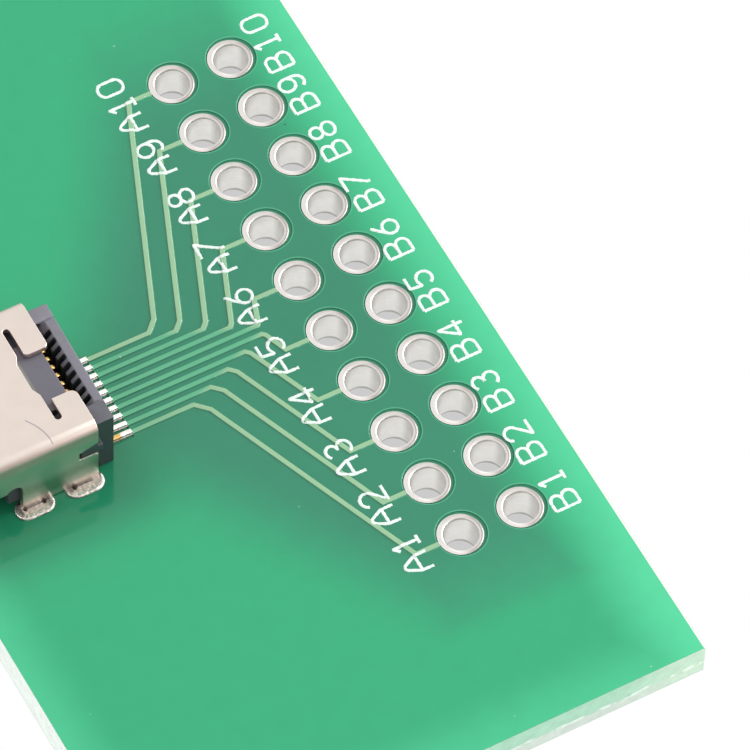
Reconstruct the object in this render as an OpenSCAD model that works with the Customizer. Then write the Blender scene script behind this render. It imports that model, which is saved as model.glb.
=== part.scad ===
// HDMI breakout board: a micro HDMI (Type D) receptacle wired to two columns of plated header holes.
// Frame: origin at the board's centre on its underside, +X from the receptacle towards the header
// holes, +Y along the columns from pin 1 to pin 10, +Z up. Millimetres.

/* [Board] */
// Size across, from the receptacle's edge to the header's edge
board_w = 22.72; // [22:0.02:26]
// Size along the header columns
board_l = 39.74; // [30:0.02:44]
// Thickness over both solder masks
board_t = 1.6; // [1.5:0.1:2]
// Solder mask thickness on bare laminate
mask_t = 0.03; // [0.02:0.005:0.04]
// Copper and plating thickness
copper_t = 0.05; // [0.035:0.005:0.07]
// Solder mask thickness over copper
cover_t = 0.02; // [0.01:0.005:0.03]

/* [Header holes] */
// Hole pitch, along and across the columns
pitch = 2.54; // [2.5:0.01:2.6]
// Finished hole diameter
hole_d = 1.42; // [1:0.02:1.5]
// Diameter of the tinned ring
ring_d = 1.78; // [1.7:0.02:1.9]
// Distance from column B to the header's edge
edge_b = 3.08; // [2:0.02:3.5]
// Gap between a ring and the edge of its mask opening
mask_gap = 0.08; // [0.08:0.005:0.14]
// Registration error of the top mask along X
mask_shift_x = 0.065; // [-0.07:0.005:0.07]
// Registration error of the top mask along Y
mask_shift_y = 0.035; // [-0.045:0.005:0.045]

/* [Traces] */
// Width of a trace
trace_w = 0.16; // [0.15:0.01:0.22]
// Mask ridge beyond each side of a trace
ridge_side = 0.02; // [0.02:0.005:0.05]
// Straight run from the last bend to the centre of column A
entry_run = 1.87; // [1.6:0.02:2.1]
// Distance from the innermost fan bend to the centre of column A
fan_near = 2.34; // [2.2:0.02:2.6]
// Step between neighbouring fan bends
fan_step = 0.935; // [0.8:0.005:0.95]
// Growth of the bend's chamfer from trace to trace
fan_chamfer = 0.105; // [0.08:0.005:0.12]
// Diameter of a via's pad
via_pad_d = 0.45; // [0.4:0.01:0.46]
// Diameter of a via's hole
via_hole_d = 0.22; // [0.2:0.01:0.26]

/* [Receptacle shell] */
// Overhang of the mouth past the board's edge
overhang = 0.5; // [0:0.05:0.8]
// Centre of the receptacle along Y
shell_y = 0.19; // [-1:0.01:1]
// Length from mouth to rear edge
shell_len = 6.95; // [6:0.01:7.4]
// Outer width
shell_w = 6.32; // [6.2:0.02:6.5]
// Height of the top face above the board
shell_h = 3.45; // [3.4:0.01:3.6]
// Sheet thickness
sheet = 0.25; // [0.2:0.01:0.28]
// Outer radius of the folds at the top
fold_r = 0.4; // [0.34:0.01:0.5]
// Length behind the closed mouth section
body_len = 3.8; // [3.75:0.01:3.95]
// Height where the mouth's sides start to slant inwards
slant_top = 1.45; // [1.3:0.01:1.5]
// Height of the mouth's lower face above the board
mouth_base = 0.62; // [0.5:0.01:0.7]
// Width of the mouth's lower face
mouth_base_w = 4.9; // [4.5:0.02:5.2]
// Width of the slit and of the seam relief
slit_w = 0.27; // [0.2:0.01:0.3]

/* [Contacts] */
// Contact pitch
contact_pitch = 0.4; // [0.38:0.005:0.42]
// Contact width
contact_w = 0.18; // [0.14:0.01:0.2]
// Contact thickness
contact_t = 0.13; // [0.1:0.01:0.14]
// Centre of the contact rows along Y
row_y = -0.035; // [-0.15:0.005:0.15]
// Reach of the upper contacts' tails behind the shell
tail_reach = 1.96; // [1.7:0.02:2.2]

/* [Hidden] */
$fn = 48;
eps = 0.01;
pins = 10;
pins_b = 9;

// Levels: the underside's mask is one level coat over its traces
lam_bottom = copper_t + cover_t;
lam_top = board_t - mask_t;

// Header columns
col_b = board_w / 2 - edge_b;
col_a = col_b - pitch;
bore_wall = 0.04;

// Trace fan
entry_x = col_a - entry_run;
fan_x = col_a - fan_near;
gap_exit = 1.26;
chamfer_min = 0.12;
via_gap = 0.35;
via_step = 0.5;

// Receptacle, in its own frame: x from the mouth, y from its middle, z from the board's top
mouth_x = -board_w / 2 - overhang;
half_w = shell_w / 2;
mouth_len = shell_len - body_len;
inner_w = shell_w - 2 * sheet;
roof = shell_h - sheet;
fold_in = fold_r - sheet;
leg_gap = 0.05;
leg_len = 0.85;
leg_depth = 1.35;
leg_tip = 0.2;
arch_w = 0.64;
arch_top = 1.67;
front_leg = mouth_len + arch_w;
rear_inset = 1.03;
rear_leg = shell_len - rear_inset;
slit_inset = 1.12;
slit_x = shell_len - slit_inset;
slit_end = 1.09;
slit_half = half_w - slit_end;
window_inset = 1.42;
window_x = shell_len - window_inset;
window_half = 0.6;
window_splay = 0.64;
tongue_far = 0.83;
tongue_near = -1.27;
far_round = 0.18;
near_round = 0.28;
notch_len = 0.79;
notch_x = shell_len - notch_len;
notch_low = 1.66;
notch_high = 2.08;
notch_flare = 0.25;
notch_corner = 0.12;
seam_w = 0.05;

// Plated leg slots
slot_len = 1.34;
slot_w = 0.7;
slot_lead = 0.22;
slot_trail = 0.03;
slot_out = 0.2;
slot_y = half_w - sheet / 2 + slot_out;
pad_len = 1.58;
pad_w = 0.94;
fill_drop = 0.12;
collar_h = 0.04;
collar_inset = 0.02;
collar_lip = 0.05;

// Insulator and comb
body_inset = 0.16;
body_front = mouth_len + body_inset;
rear_sink = 0.27;
body_rear = shell_len - rear_sink;
body_base = 0.35;
pocket_far = 1.5;
pocket_near = 1.6;
pocket_side = 0.3;
pocket_depth = 0.4;
roof_gap = 0.05;
body_top = roof - roof_gap;
tongue_front = 0.75;
tongue_clear = 0.66;
tongue_w = inner_w - 2 * tongue_clear;
tongue_low = 1.75;
tongue_high = 2.35;
comb_reach = 0.91;
comb_taper = 0.09;
comb_rear = shell_len + comb_reach;
comb_gap = 0.2;
comb_tip = shell_len + comb_gap;
finger_len = 0.28;
comb_root = comb_tip + finger_len;
comb_top = 3.0;
comb_slope = 0.3;
comb_clear = 0.1;
comb_half = inner_w / 2 - comb_clear;
comb_arch = 0.35;
comb_arch_half = 2.02;
comb_slot_w = 0.2;
comb_slot_low = 1.5;
comb_slot_y = 0.025;
cap_low = 2.78;
trench_far = 2.15;
trench_gap = 0.055;
groove_near = -1.92;
boss_gap = 0.04;
boss_sink = 0.03;
groove_w = 0.06;

// Contacts
row_in = row_y - shell_y;
trench_near = row_in - (pins - 1) / 2 * contact_pitch - contact_w / 2 - trench_gap;
bend_in = 0.08;
proud = 0.05;
lift_a = 0.3;
lift_x = 1.4;
lift_run = 0.6;
tip_inset = 0.25;
contact_front = tongue_front + tip_inset;
run_a = tongue_high + proud - contact_t;
run_b = tongue_low - proud;
drop_gap = 0.21;
drop_a = body_rear + drop_gap;
drop_inset = 1.64;
drop_b = shell_len - drop_inset;
film_t = 0.03;
foot_z = copper_t - mask_t + film_t;
tail_a = shell_len + tail_reach;
foot_b = 1.15;
tail_b = drop_b + foot_b;
land_w = 0.24;
land_inset = 0.55;
land_a = shell_len + land_inset;
heel = 0.2;
land_b = drop_b + heel;
toe = 0.05;

// Colours
green = [0.27, 0.58, 0.45];
core = [0.78, 0.80, 0.62];
tin = [0.86, 0.85, 0.83];
nickel = [0.66, 0.62, 0.60];
gold = [0.83, 0.66, 0.34];
plastic = [0.24, 0.24, 0.27];
solder = [0.80, 0.80, 0.80];

// Paths
function unit(v) = v / norm(v);
function normal(v) = [-v[1], v[0]];
function heading(path, i) = unit(path[i + 1] - path[i]);
function turn_normal(path, i) = let (last = len(path) - 1)
    i == 0 ? normal(heading(path, 0)) :
    i == last ? normal(heading(path, last - 1)) :
    let (a = normal(heading(path, i - 1)), b = normal(heading(path, i)), m = unit(a + b)) m / (m * a);
function beside(path, d) = [for (i = [0:len(path) - 1]) path[i] + d * turn_normal(path, i)];
function reversed(path) = [for (i = [len(path) - 1:-1:0]) path[i]];
function ribbon(path, w) = concat(beside(path, w / 2), reversed(beside(path, -w / 2)));

// Pin positions: k counts from 1 at the near end
function pin_y(k) = (k - (pins + 1) / 2) * pitch;
function tail_y(k) = row_y + (k - (pins + 1) / 2) * contact_pitch;
function tail_b_y(k) = row_y + (k - (pins_b + 1) / 2) * contact_pitch;
function fan_rank(k) = k <= pins / 2 ? pins / 2 - k : k - pins / 2 - 1;
function chamfer(k) = max(fan_chamfer * abs(k - pins / 2 - 0.6), chamfer_min);

// A fan trace: straight, one chamfered bend, then slanting to the entry line
function fan(x, y, k, y_end) = let (c = chamfer(k), xt = fan_x - fan_step * fan_rank(k), s = sign(y_end - y))
    [[x, y], [xt, y], [xt + c, y + s * c], [entry_x, y_end]];
function trace_a(k) = concat(fan(mouth_x + land_a + toe, tail_y(k), k, pin_y(k)), [[col_a, pin_y(k)]]);
function via_x(k) = mouth_x + drop_b - via_gap - via_step * (k % 2);
function start_b(k) = k == pins ? [mouth_x + slot_mid(rear_leg), shell_y + slot_y]
    : [via_x(k), tail_b_y(k)];
function trace_b(k) = let (p = start_b(k), y_gap = pin_y(k) - pitch / 2)
    concat(fan(p[0], p[1], k, y_gap), [[col_b - gap_exit, y_gap], [col_b, pin_y(k)]]);
function slot_mid(leg) = leg < rear_leg ? leg - slot_lead + slot_len / 2
    : leg + leg_len + slot_lead - slot_len / 2;

// Shapes that repeat

module ribbon_bar(path, w, z, t) {
    translate([0, 0, z]) linear_extrude(t) polygon(ribbon(path, w));
}

// Long hole or pad along X, centred
module stadium(l, w) {
    square([l - w, w], center = true);
    for (s = [-1, 1]) translate([s * (l - w) / 2, 0]) circle(w / 2);
}

module at_receptacle() {
    translate([mouth_x, shell_y, board_t]) children();
}

// Places a 2D outline drawn in (x, z) as a plate of thickness t that starts at y
module plate_xz(y, t) {
    translate([0, y + t, 0]) rotate([90, 0, 0]) linear_extrude(t) children();
}

// Places a 2D section drawn in (y, z) as a bar along X
module bar_yz(x, l) {
    translate([x, 0, 0]) rotate([90, 0, 90]) linear_extrude(l) children();
}

module at_leg_slots() {
    for (leg = [front_leg, rear_leg], s = [-1, 1])
        translate([mouth_x + slot_mid(leg), shell_y + s * slot_y, 0]) children();
}

module at_far_rear_slot() {
    translate([mouth_x + slot_mid(rear_leg), shell_y + slot_y, 0]) children();
}

module at_pins(x) {
    for (k = [1:pins]) translate([x, pin_y(k), 0]) children();
}

// Copper

// Rings on both faces and the barrel between them, solid, before the hole is opened
module barrel_solid(d, ring) {
    translate([0, 0, lam_bottom - copper_t]) cylinder(d = ring, h = copper_t);
    translate([0, 0, lam_bottom]) cylinder(d = d + 2 * bore_wall, h = lam_top - lam_bottom);
    translate([0, 0, lam_top]) cylinder(d = ring, h = copper_t);
}

module hole_cut(d) {
    translate([0, 0, -1]) cylinder(d = d, h = board_t + 2);
}

module slot_plating_solid() {
    translate([0, 0, lam_bottom - copper_t]) linear_extrude(copper_t) stadium(pad_len, pad_w);
    translate([0, 0, lam_bottom]) linear_extrude(lam_top - lam_bottom)
        stadium(slot_len + 2 * bore_wall, slot_w + 2 * bore_wall);
    translate([0, 0, lam_top]) linear_extrude(copper_t) stadium(pad_len, pad_w);
}

module slot_cut(grow = 0) {
    translate([0, 0, -1]) linear_extrude(board_t + 2) stadium(slot_len + 2 * grow, slot_w + 2 * grow);
}

module land(x0, x1, y) {
    translate([mouth_x + x0, y - land_w / 2, lam_top]) cube([x1 - x0, land_w, copper_t]);
}

module net_a(k) {
    color(tin) difference() {
        union() {
            land(land_a, tail_a - toe, tail_y(k));
            ribbon_bar(trace_a(k), trace_w, lam_top, copper_t);
            translate([col_a, pin_y(k), 0]) barrel_solid(hole_d, ring_d);
        }
        translate([col_a, pin_y(k), 0]) hole_cut(hole_d);
    }
}

module net_b(k) {
    color(tin) difference() {
        union() {
            if (k == pins) at_far_rear_slot() slot_plating_solid();
            if (k < pins) {
                land(land_b, tail_b, tail_b_y(k));
                translate([via_x(k), tail_b_y(k) - trace_w / 2, lam_top])
                    cube([mouth_x + land_b + toe - via_x(k), trace_w, copper_t]);
                translate([via_x(k), tail_b_y(k), 0]) barrel_solid(via_hole_d, via_pad_d);
            }
            ribbon_bar(trace_b(k), trace_w, lam_bottom - copper_t, copper_t);
            translate([col_b, pin_y(k), 0]) barrel_solid(hole_d, ring_d);
        }
        translate([col_b, pin_y(k), 0]) hole_cut(hole_d);
        if (k == pins) at_far_rear_slot() slot_cut();
        if (k < pins) translate([via_x(k), tail_b_y(k), 0]) hole_cut(via_hole_d);
    }
}

module leg_slot_platings() {
    color(tin) for (leg = [front_leg, rear_leg], s = [-1, 1]) if (leg == front_leg || s < 0)
        translate([mouth_x + slot_mid(leg), shell_y + s * slot_y, 0]) difference() {
            slot_plating_solid();
            slot_cut();
        }
}

// Board

module board_plate(z, t) {
    translate([-board_w / 2, -board_l / 2, z]) cube([board_w, board_l, t]);
}

module board_laminate() {
    color(core) difference() {
        board_plate(lam_bottom, lam_top - lam_bottom);
        for (x = [col_a, col_b]) at_pins(x) hole_cut(hole_d + 2 * bore_wall);
        for (k = [1:pins_b]) translate([via_x(k), tail_b_y(k), 0]) hole_cut(via_hole_d + 2 * bore_wall);
        at_leg_slots() slot_cut(bore_wall);
    }
}

// Openings that both masks share: rings and leg pads
module mask_openings() {
    for (x = [col_a, col_b]) at_pins(x) hole_cut(ring_d + 2 * mask_gap);
    at_leg_slots() translate([0, 0, -1]) linear_extrude(board_t + 2)
        stadium(pad_len + 2 * mask_gap, pad_w + 2 * mask_gap);
}

// One opening around a row of lands that reach x0 to x1 and stand out by half on each side
module row_opening(x0, x1, y_first, y_last, half) {
    margin = half + mask_gap;
    translate([mouth_x + x0 - mask_gap, y_first - margin, lam_top - 1])
        cube([x1 - x0 + mask_gap + eps, y_last - y_first + 2 * margin, 2]);
}

module solder_mask_top() {
    ridge = copper_t + cover_t;
    color(green) difference() {
        union() {
            board_plate(lam_top, mask_t);
            for (k = [1:pins]) ribbon_bar(trace_a(k), trace_w + 2 * ridge_side, lam_top, ridge);
        }
        for (k = [1:pins]) ribbon_bar(trace_a(k), trace_w, lam_top - eps, copper_t + eps);
        translate([mask_shift_x, mask_shift_y, 0]) mask_openings();
        row_opening(land_a, tail_a + toe, tail_y(1), tail_y(pins), land_w / 2);
        row_opening(drop_b - via_gap - via_step - via_pad_d / 2, tail_b + toe, tail_b_y(1), tail_b_y(pins_b),
                    via_pad_d / 2);
    }
}

module solder_mask_bottom() {
    color(green) difference() {
        board_plate(0, lam_bottom);
        for (k = [1:pins]) ribbon_bar(trace_b(k), trace_w, lam_bottom - copper_t, copper_t + eps);
        for (k = [1:pins_b]) translate([via_x(k), tail_b_y(k), 0]) hole_cut(via_pad_d + mask_gap);
        mask_openings();
    }
}

// Receptacle shell

module fold_section() {
    for (s = [-1, 1]) translate([s * (half_w - fold_r), shell_h - fold_r]) intersection() {
        difference() {
            circle(fold_r);
            circle(fold_in);
        }
        translate([s > 0 ? 0 : -fold_r, 0]) square(fold_r);
    }
    translate([-half_w + fold_r, roof]) square([shell_w - 2 * fold_r, sheet]);
}

module mouth_section() {
    path = [
        [-half_w, shell_h - fold_r], [-half_w, slant_top], [-mouth_base_w / 2, mouth_base],
        [mouth_base_w / 2, mouth_base], [half_w, slant_top], [half_w, shell_h - fold_r],
    ];
    difference() {
        polygon(concat(path, reversed(beside(path, sheet))));
        translate([-seam_w / 2, 0]) square([seam_w, mouth_base + 2 * sheet]);
    }
    fold_section();
}

module leg_outline(x) {
    polygon([
        [x, leg_gap], [x, leg_tip - leg_depth], [x + leg_tip, -leg_depth],
        [x + leg_len - leg_tip, -leg_depth], [x + leg_len, leg_tip - leg_depth], [x + leg_len, leg_gap],
    ]);
}

// Notch in the rear edge of a side wall, or the boss that stands in it with a gap
module notch_outline(gap) {
    polygon([
        [notch_x + 2 * gap, notch_low + gap], [notch_x + 2 * gap, notch_high - gap],
        [shell_len + eps, notch_high + notch_flare - gap], [shell_len + eps, notch_low - notch_corner + gap],
        [shell_len - notch_corner + gap, notch_low + gap],
    ]);
}

// One side wall behind the mouth: legs below, a relief arch in front, a notch in the rear edge
module wall_outline() {
    difference() {
        union() {
            translate([mouth_len, leg_gap]) square([shell_len - mouth_len, shell_h - fold_r - leg_gap]);
            for (x = [front_leg, rear_leg]) leg_outline(x);
        }
        translate([mouth_len, -leg_depth]) square([arch_w, arch_top - arch_w / 2 + leg_depth]);
        translate([mouth_len + arch_w / 2, arch_top - arch_w / 2]) circle(arch_w / 2);
        notch_outline(0);
    }
}

// Cut-outs of the top plate, drawn in plan: a cross slit, a rear window and the gap between the tongues
module roof_cut() {
    translate([slit_x, 0]) rotate(90) stadium(2 * slit_half + slit_w, slit_w);
    polygon([
        [slit_x, -window_half - window_splay], [window_x, -window_half],
        [window_x, window_half], [slit_x, window_half + window_splay],
    ]);
    translate([slit_x, tongue_near]) square([shell_len - slit_x + eps, tongue_far - tongue_near]);
}

// What a corner at (x, y) loses to a round of radius r; the sheet lies on the side of the signs
module corner_cut(x, y, r, sx, sy) {
    translate([x + sx * r, y + sy * r]) difference() {
        translate([sx > 0 ? -r - eps : 0, sy > 0 ? -r - eps : 0]) square(r + eps);
        circle(r);
    }
}

module tongue_rounds() {
    corner_cut(slit_x + slit_w / 2, tongue_far, far_round, 1, 1);
    corner_cut(shell_len, tongue_far, far_round, -1, 1);
    corner_cut(shell_len, tongue_near, near_round, -1, -1);
}

module connector_shell() {
    color(nickel) at_receptacle() {
        difference() {
            union() {
                bar_yz(0, mouth_len) mouth_section();
                bar_yz(mouth_len, shell_len - mouth_len) fold_section();
                for (y = [-half_w, half_w - sheet]) plate_xz(y, sheet) wall_outline();
            }
            translate([0, 0, roof - fold_r / 2]) linear_extrude(2 * fold_r) {
                roof_cut();
                tongue_rounds();
            }
        }
    }
}

// Contacts

// Quarter bend of a strip: inner radius r, thickness t, in the quadrant given by the signs
module bend(r, t, sx, sz) {
    intersection() {
        difference() {
            circle(r + t);
            circle(r);
        }
        translate([sx > 0 ? 0 : -(r + t), sz > 0 ? 0 : -(r + t)]) square(r + t);
    }
}

// Side view of a contact: run at z0, step up by lift, bend down at x, foot along the board to x_end
module contact_outline(z0, x, x_end, lift) {
    t = contact_t;
    low = foot_z + t + bend_in;
    high = z0 + lift - bend_in;
    step = x - lift_x;
    polygon([
        [contact_front, z0], [step, z0], [step + lift_run, z0 + lift], [x - bend_in, z0 + lift],
        [x - bend_in, z0 + lift + t], [step + lift_run, z0 + lift + t], [step, z0 + t],
        [contact_front, z0 + t],
    ]);
    translate([x - bend_in, high]) bend(bend_in, t, 1, 1);
    translate([x, low]) square([t, high - low]);
    translate([x + t + bend_in, low]) bend(bend_in, t, -1, -1);
    translate([x + t + bend_in, foot_z]) square([x_end - x - t - bend_in, t]);
}

module contact_bar_a(k) {
    y = tail_y(k) - shell_y;
    plate_xz(y - contact_w / 2, contact_w) contact_outline(run_a, drop_a, tail_a, lift_a);
}

module contact_bar_b(k) {
    y = tail_b_y(k) - shell_y;
    plate_xz(y - contact_w / 2, contact_w) contact_outline(run_b, drop_b, tail_b, 0);
}

module contact_a(k) {
    color(gold) at_receptacle() contact_bar_a(k);
}

module contact_b(k) {
    color(gold) at_receptacle() contact_bar_b(k);
}

// Mouldings

module insulator() {
    color(plastic) at_receptacle() difference() {
        union() {
            translate([body_front, -inner_w / 2, body_base])
                cube([body_rear - body_front, inner_w, body_top - body_base - fold_in]);
            translate([body_front, -inner_w / 2 + fold_in, body_top - fold_in - eps])
                cube([body_rear - body_front, inner_w - 2 * fold_in, fold_in + eps]);
            translate([tongue_front, row_in - tongue_w / 2, tongue_low])
                cube([body_front - tongue_front + eps, tongue_w, tongue_high - tongue_low]);
        }
        for (k = [1:pins]) contact_bar_a(k);
        for (k = [1:pins_b]) contact_bar_b(k);
        translate([slit_x - pocket_side, pocket_far, body_top - pocket_depth])
            cube([2 * pocket_side, inner_w / 2 - pocket_far - pocket_side, 2 * pocket_depth]);
        translate([slit_x - pocket_side, pocket_side - inner_w / 2, body_top - pocket_depth])
            cube([2 * pocket_side, inner_w / 2 - pocket_near - pocket_side, 2 * pocket_depth]);
    }
}

// Side view of the comb's bar, with the sloped finger tips
module comb_outline() {
    polygon([
        [comb_tip, comb_arch], [comb_rear, comb_arch], [comb_rear, comb_top],
        [comb_root, comb_top], [comb_tip, comb_top - comb_slope],
    ]);
}

module comb_slots() {
    for (k = [1:pins_b])
        translate([comb_tip - eps, comb_slot_y + (k - (pins_b + 1) / 2) * contact_pitch - comb_slot_w / 2,
                   comb_slot_low])
            cube([comb_root - comb_tip + eps, comb_slot_w, comb_top]);
}

// Blocks at both ends of the comb, from x to its rear face, that leave y_near to y_far free
module comb_ends(x, z, h, y_near, y_far) {
    translate([x, -comb_half, z]) cube([comb_rear - x, y_near + comb_half, h]);
    translate([x, y_far, z]) cube([comb_rear - x, comb_half - y_far, h]);
}

// Boss at one end of the comb that fills the notch of the side wall
module notch_boss(s) {
    plate_xz(s > 0 ? half_w - sheet + boss_sink : boss_sink - half_w, sheet - 2 * boss_sink)
        notch_outline(boss_gap);
    translate([shell_len - notch_corner, s > 0 ? comb_half - eps : boss_sink - half_w, notch_low + boss_gap])
        cube([comb_gap + notch_corner + eps, half_w - boss_sink - comb_half + eps,
              notch_high - notch_low - 2 * boss_gap]);
}

// The rear face runs closer to the shell at its near end
module rear_taper() {
    translate([0, 0, -eps]) linear_extrude(shell_h) polygon([
        [comb_rear - comb_taper, -comb_half - eps], [comb_rear, comb_half + eps],
        [comb_rear + comb_reach, comb_half + eps], [comb_rear + comb_reach, -comb_half - eps],
    ]);
}

module tail_comb() {
    color(plastic) at_receptacle() difference() {
        union() {
            plate_xz(-comb_half, 2 * comb_half) comb_outline();
            comb_ends(body_rear, comb_arch, cap_low - comb_arch + eps, trench_near, trench_far);
            comb_ends(body_rear, cap_low, comb_top - cap_low, groove_near, trench_far);
            for (s = [-1, 1]) notch_boss(s);
            comb_ends(comb_tip, 0, comb_arch + eps, row_in - comb_arch_half, row_in + comb_arch_half);
        }
        comb_slots();
        rear_taper();
        for (y = [groove_near, trench_far])
            translate([comb_tip - eps, y - groove_w / 2, comb_top - groove_w])
                cube([comb_rear - comb_tip + 2 * eps, groove_w, 2 * groove_w]);
    }
}

// Solder

// Film under a foot with a fillet at its toe
module foot_solder(x0, x1, y) {
    low = copper_t - mask_t;
    plate_xz(y - land_w / 2, land_w) polygon([
        [x0, low], [x1 + toe, low], [x1, foot_z + contact_t / 2], [x1, foot_z], [x0, foot_z],
    ]);
}

module tail_solder_a() {
    color(solder) at_receptacle() for (k = [1:pins])
        foot_solder(comb_rear - heel, tail_a, tail_y(k) - shell_y);
}

module tail_solder_b() {
    color(solder) at_receptacle() for (k = [1:pins_b])
        foot_solder(land_b + toe, tail_b, tail_b_y(k) - shell_y);
}

// Ring of solder on a slot's pad, with a lip that runs down the slot's wall to the fill
module solder_collar() {
    low = copper_t - mask_t;
    difference() {
        union() {
            translate([0, 0, low]) linear_extrude(collar_h - low)
                stadium(pad_len - 2 * collar_inset, pad_w - 2 * collar_inset);
            translate([0, 0, -fill_drop - collar_lip]) linear_extrude(collar_h + fill_drop + collar_lip)
                stadium(slot_len, slot_w);
        }
        translate([0, 0, -leg_depth]) linear_extrude(2 * leg_depth)
            stadium(slot_len - 2 * collar_lip, slot_w - 2 * collar_lip);
    }
}

// Joint of one leg: the fill is sunk below the pad and open beyond one end of the leg
module leg_joint(leg, s) {
    wall = s > 0 ? half_w - sheet : -half_w;
    open_x = leg < rear_leg ? leg + leg_len - slot_trail : leg + slot_trail - slot_len;
    difference() {
        union() {
            difference() {
                translate([slot_mid(leg), s * slot_y, -leg_depth]) linear_extrude(leg_depth - fill_drop)
                    stadium(slot_len, slot_w);
                translate([open_x, s * slot_y - pad_w, -2 * leg_depth])
                    cube([slot_len, 2 * pad_w, 3 * leg_depth]);
            }
            translate([slot_mid(leg), s * slot_y, 0]) solder_collar();
        }
        plate_xz(wall, sheet) leg_outline(leg);
    }
}

module leg_solder() {
    color(solder) at_receptacle() for (leg = [front_leg, rear_leg], s = [-1, 1]) leg_joint(leg, s);
}

board_laminate();
solder_mask_top();
solder_mask_bottom();
leg_slot_platings();
connector_shell();
insulator();
tail_comb();
tail_solder_a();
tail_solder_b();
leg_solder();
for (k = [1:pins]) net_a(k);
for (k = [1:pins]) net_b(k);
for (k = [1:pins]) contact_a(k);
for (k = [1:pins_b]) contact_b(k);
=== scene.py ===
"""Looks of the breakout board: solder mask, tinned holes, printed pin numbers and a folded receptacle."""

import logging
import math
from dataclasses import dataclass, field
from enum import Enum
from typing import Any, Iterable, Sequence, Union

import bmesh
import bpy
from mathutils import Matrix, Vector


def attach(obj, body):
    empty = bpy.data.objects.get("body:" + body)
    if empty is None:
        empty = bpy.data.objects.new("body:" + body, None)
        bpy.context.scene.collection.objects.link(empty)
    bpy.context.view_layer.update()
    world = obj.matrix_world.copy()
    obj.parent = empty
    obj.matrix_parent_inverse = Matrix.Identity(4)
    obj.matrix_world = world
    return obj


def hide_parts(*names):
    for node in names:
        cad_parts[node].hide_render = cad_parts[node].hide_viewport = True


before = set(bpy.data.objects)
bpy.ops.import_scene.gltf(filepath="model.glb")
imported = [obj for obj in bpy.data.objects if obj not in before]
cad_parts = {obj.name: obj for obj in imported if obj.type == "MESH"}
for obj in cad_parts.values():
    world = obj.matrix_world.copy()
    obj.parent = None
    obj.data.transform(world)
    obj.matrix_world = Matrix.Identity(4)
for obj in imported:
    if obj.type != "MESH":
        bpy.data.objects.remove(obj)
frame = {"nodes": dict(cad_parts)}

MM = 0.001
BODY = "root"
WHITE = (1.0, 1.0, 1.0, 1.0)

Colour = tuple[float, float, float, float]
Point = tuple[float, float]
Place = tuple[float, float, float]
Socket = bpy.types.NodeSocket
Feed = Union["Value", Socket, float, int, Sequence[float], Any]
Inputs = dict[Union[str, int], Feed]

log = logging.getLogger("breakout_board")


def tone(red: int, green: int, blue: int) -> Colour:
    """Turns an sRGB colour of 0 to 255 into the linear colour that Blender's sockets take.

    Args:
        red: Red share.
        green: Green share.
        blue: Blue share.

    Returns:
        Linear red, green, blue and an alpha of 1.
    """
    def linear(value: int) -> float:
        """Returns one linear channel."""
        share = value / 255
        return share / 12.92 if share <= 0.04045 else ((share + 0.055) / 1.055) ** 2.4

    return linear(red), linear(green), linear(blue), 1.0


@dataclass(frozen=True)
class Layout:
    """Places and sizes that several pieces and finishes share, in millimetres."""

    pins: int = 10
    pitch: float = 2.54
    column_a: float = 5.74
    column_b: float = 8.28
    half_x: float = 11.36
    half_y: float = 19.87
    inside_z: float = 1.0
    bore_r: float = 0.694
    ring_top: float = 1.62
    coat_shift: Point = (0.065, 0.035)
    contact_pitch: float = 0.4
    contact_y: float = -0.035
    middle_y: float = 0.19
    shell_top: float = 5.05

    def pin_y(self, k: int) -> float:
        """Returns the place of one pin's row along the board."""
        return (k - (self.pins + 1) / 2) * self.pitch


LAYOUT = Layout()


class Slot(Enum):
    """Names of material slots."""

    TIN = "tin"
    SOLDER_MASK = "solder_mask"
    NICKEL = "nickel"
    GOLD = "gold"
    PLASTIC = "plastic"
    SOLDER = "solder"


class Face(Enum):
    """Face of the board that a drawn line lies on; the value is the direction towards the board."""

    TOP = -1.0
    UNDERSIDE = 1.0


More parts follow.
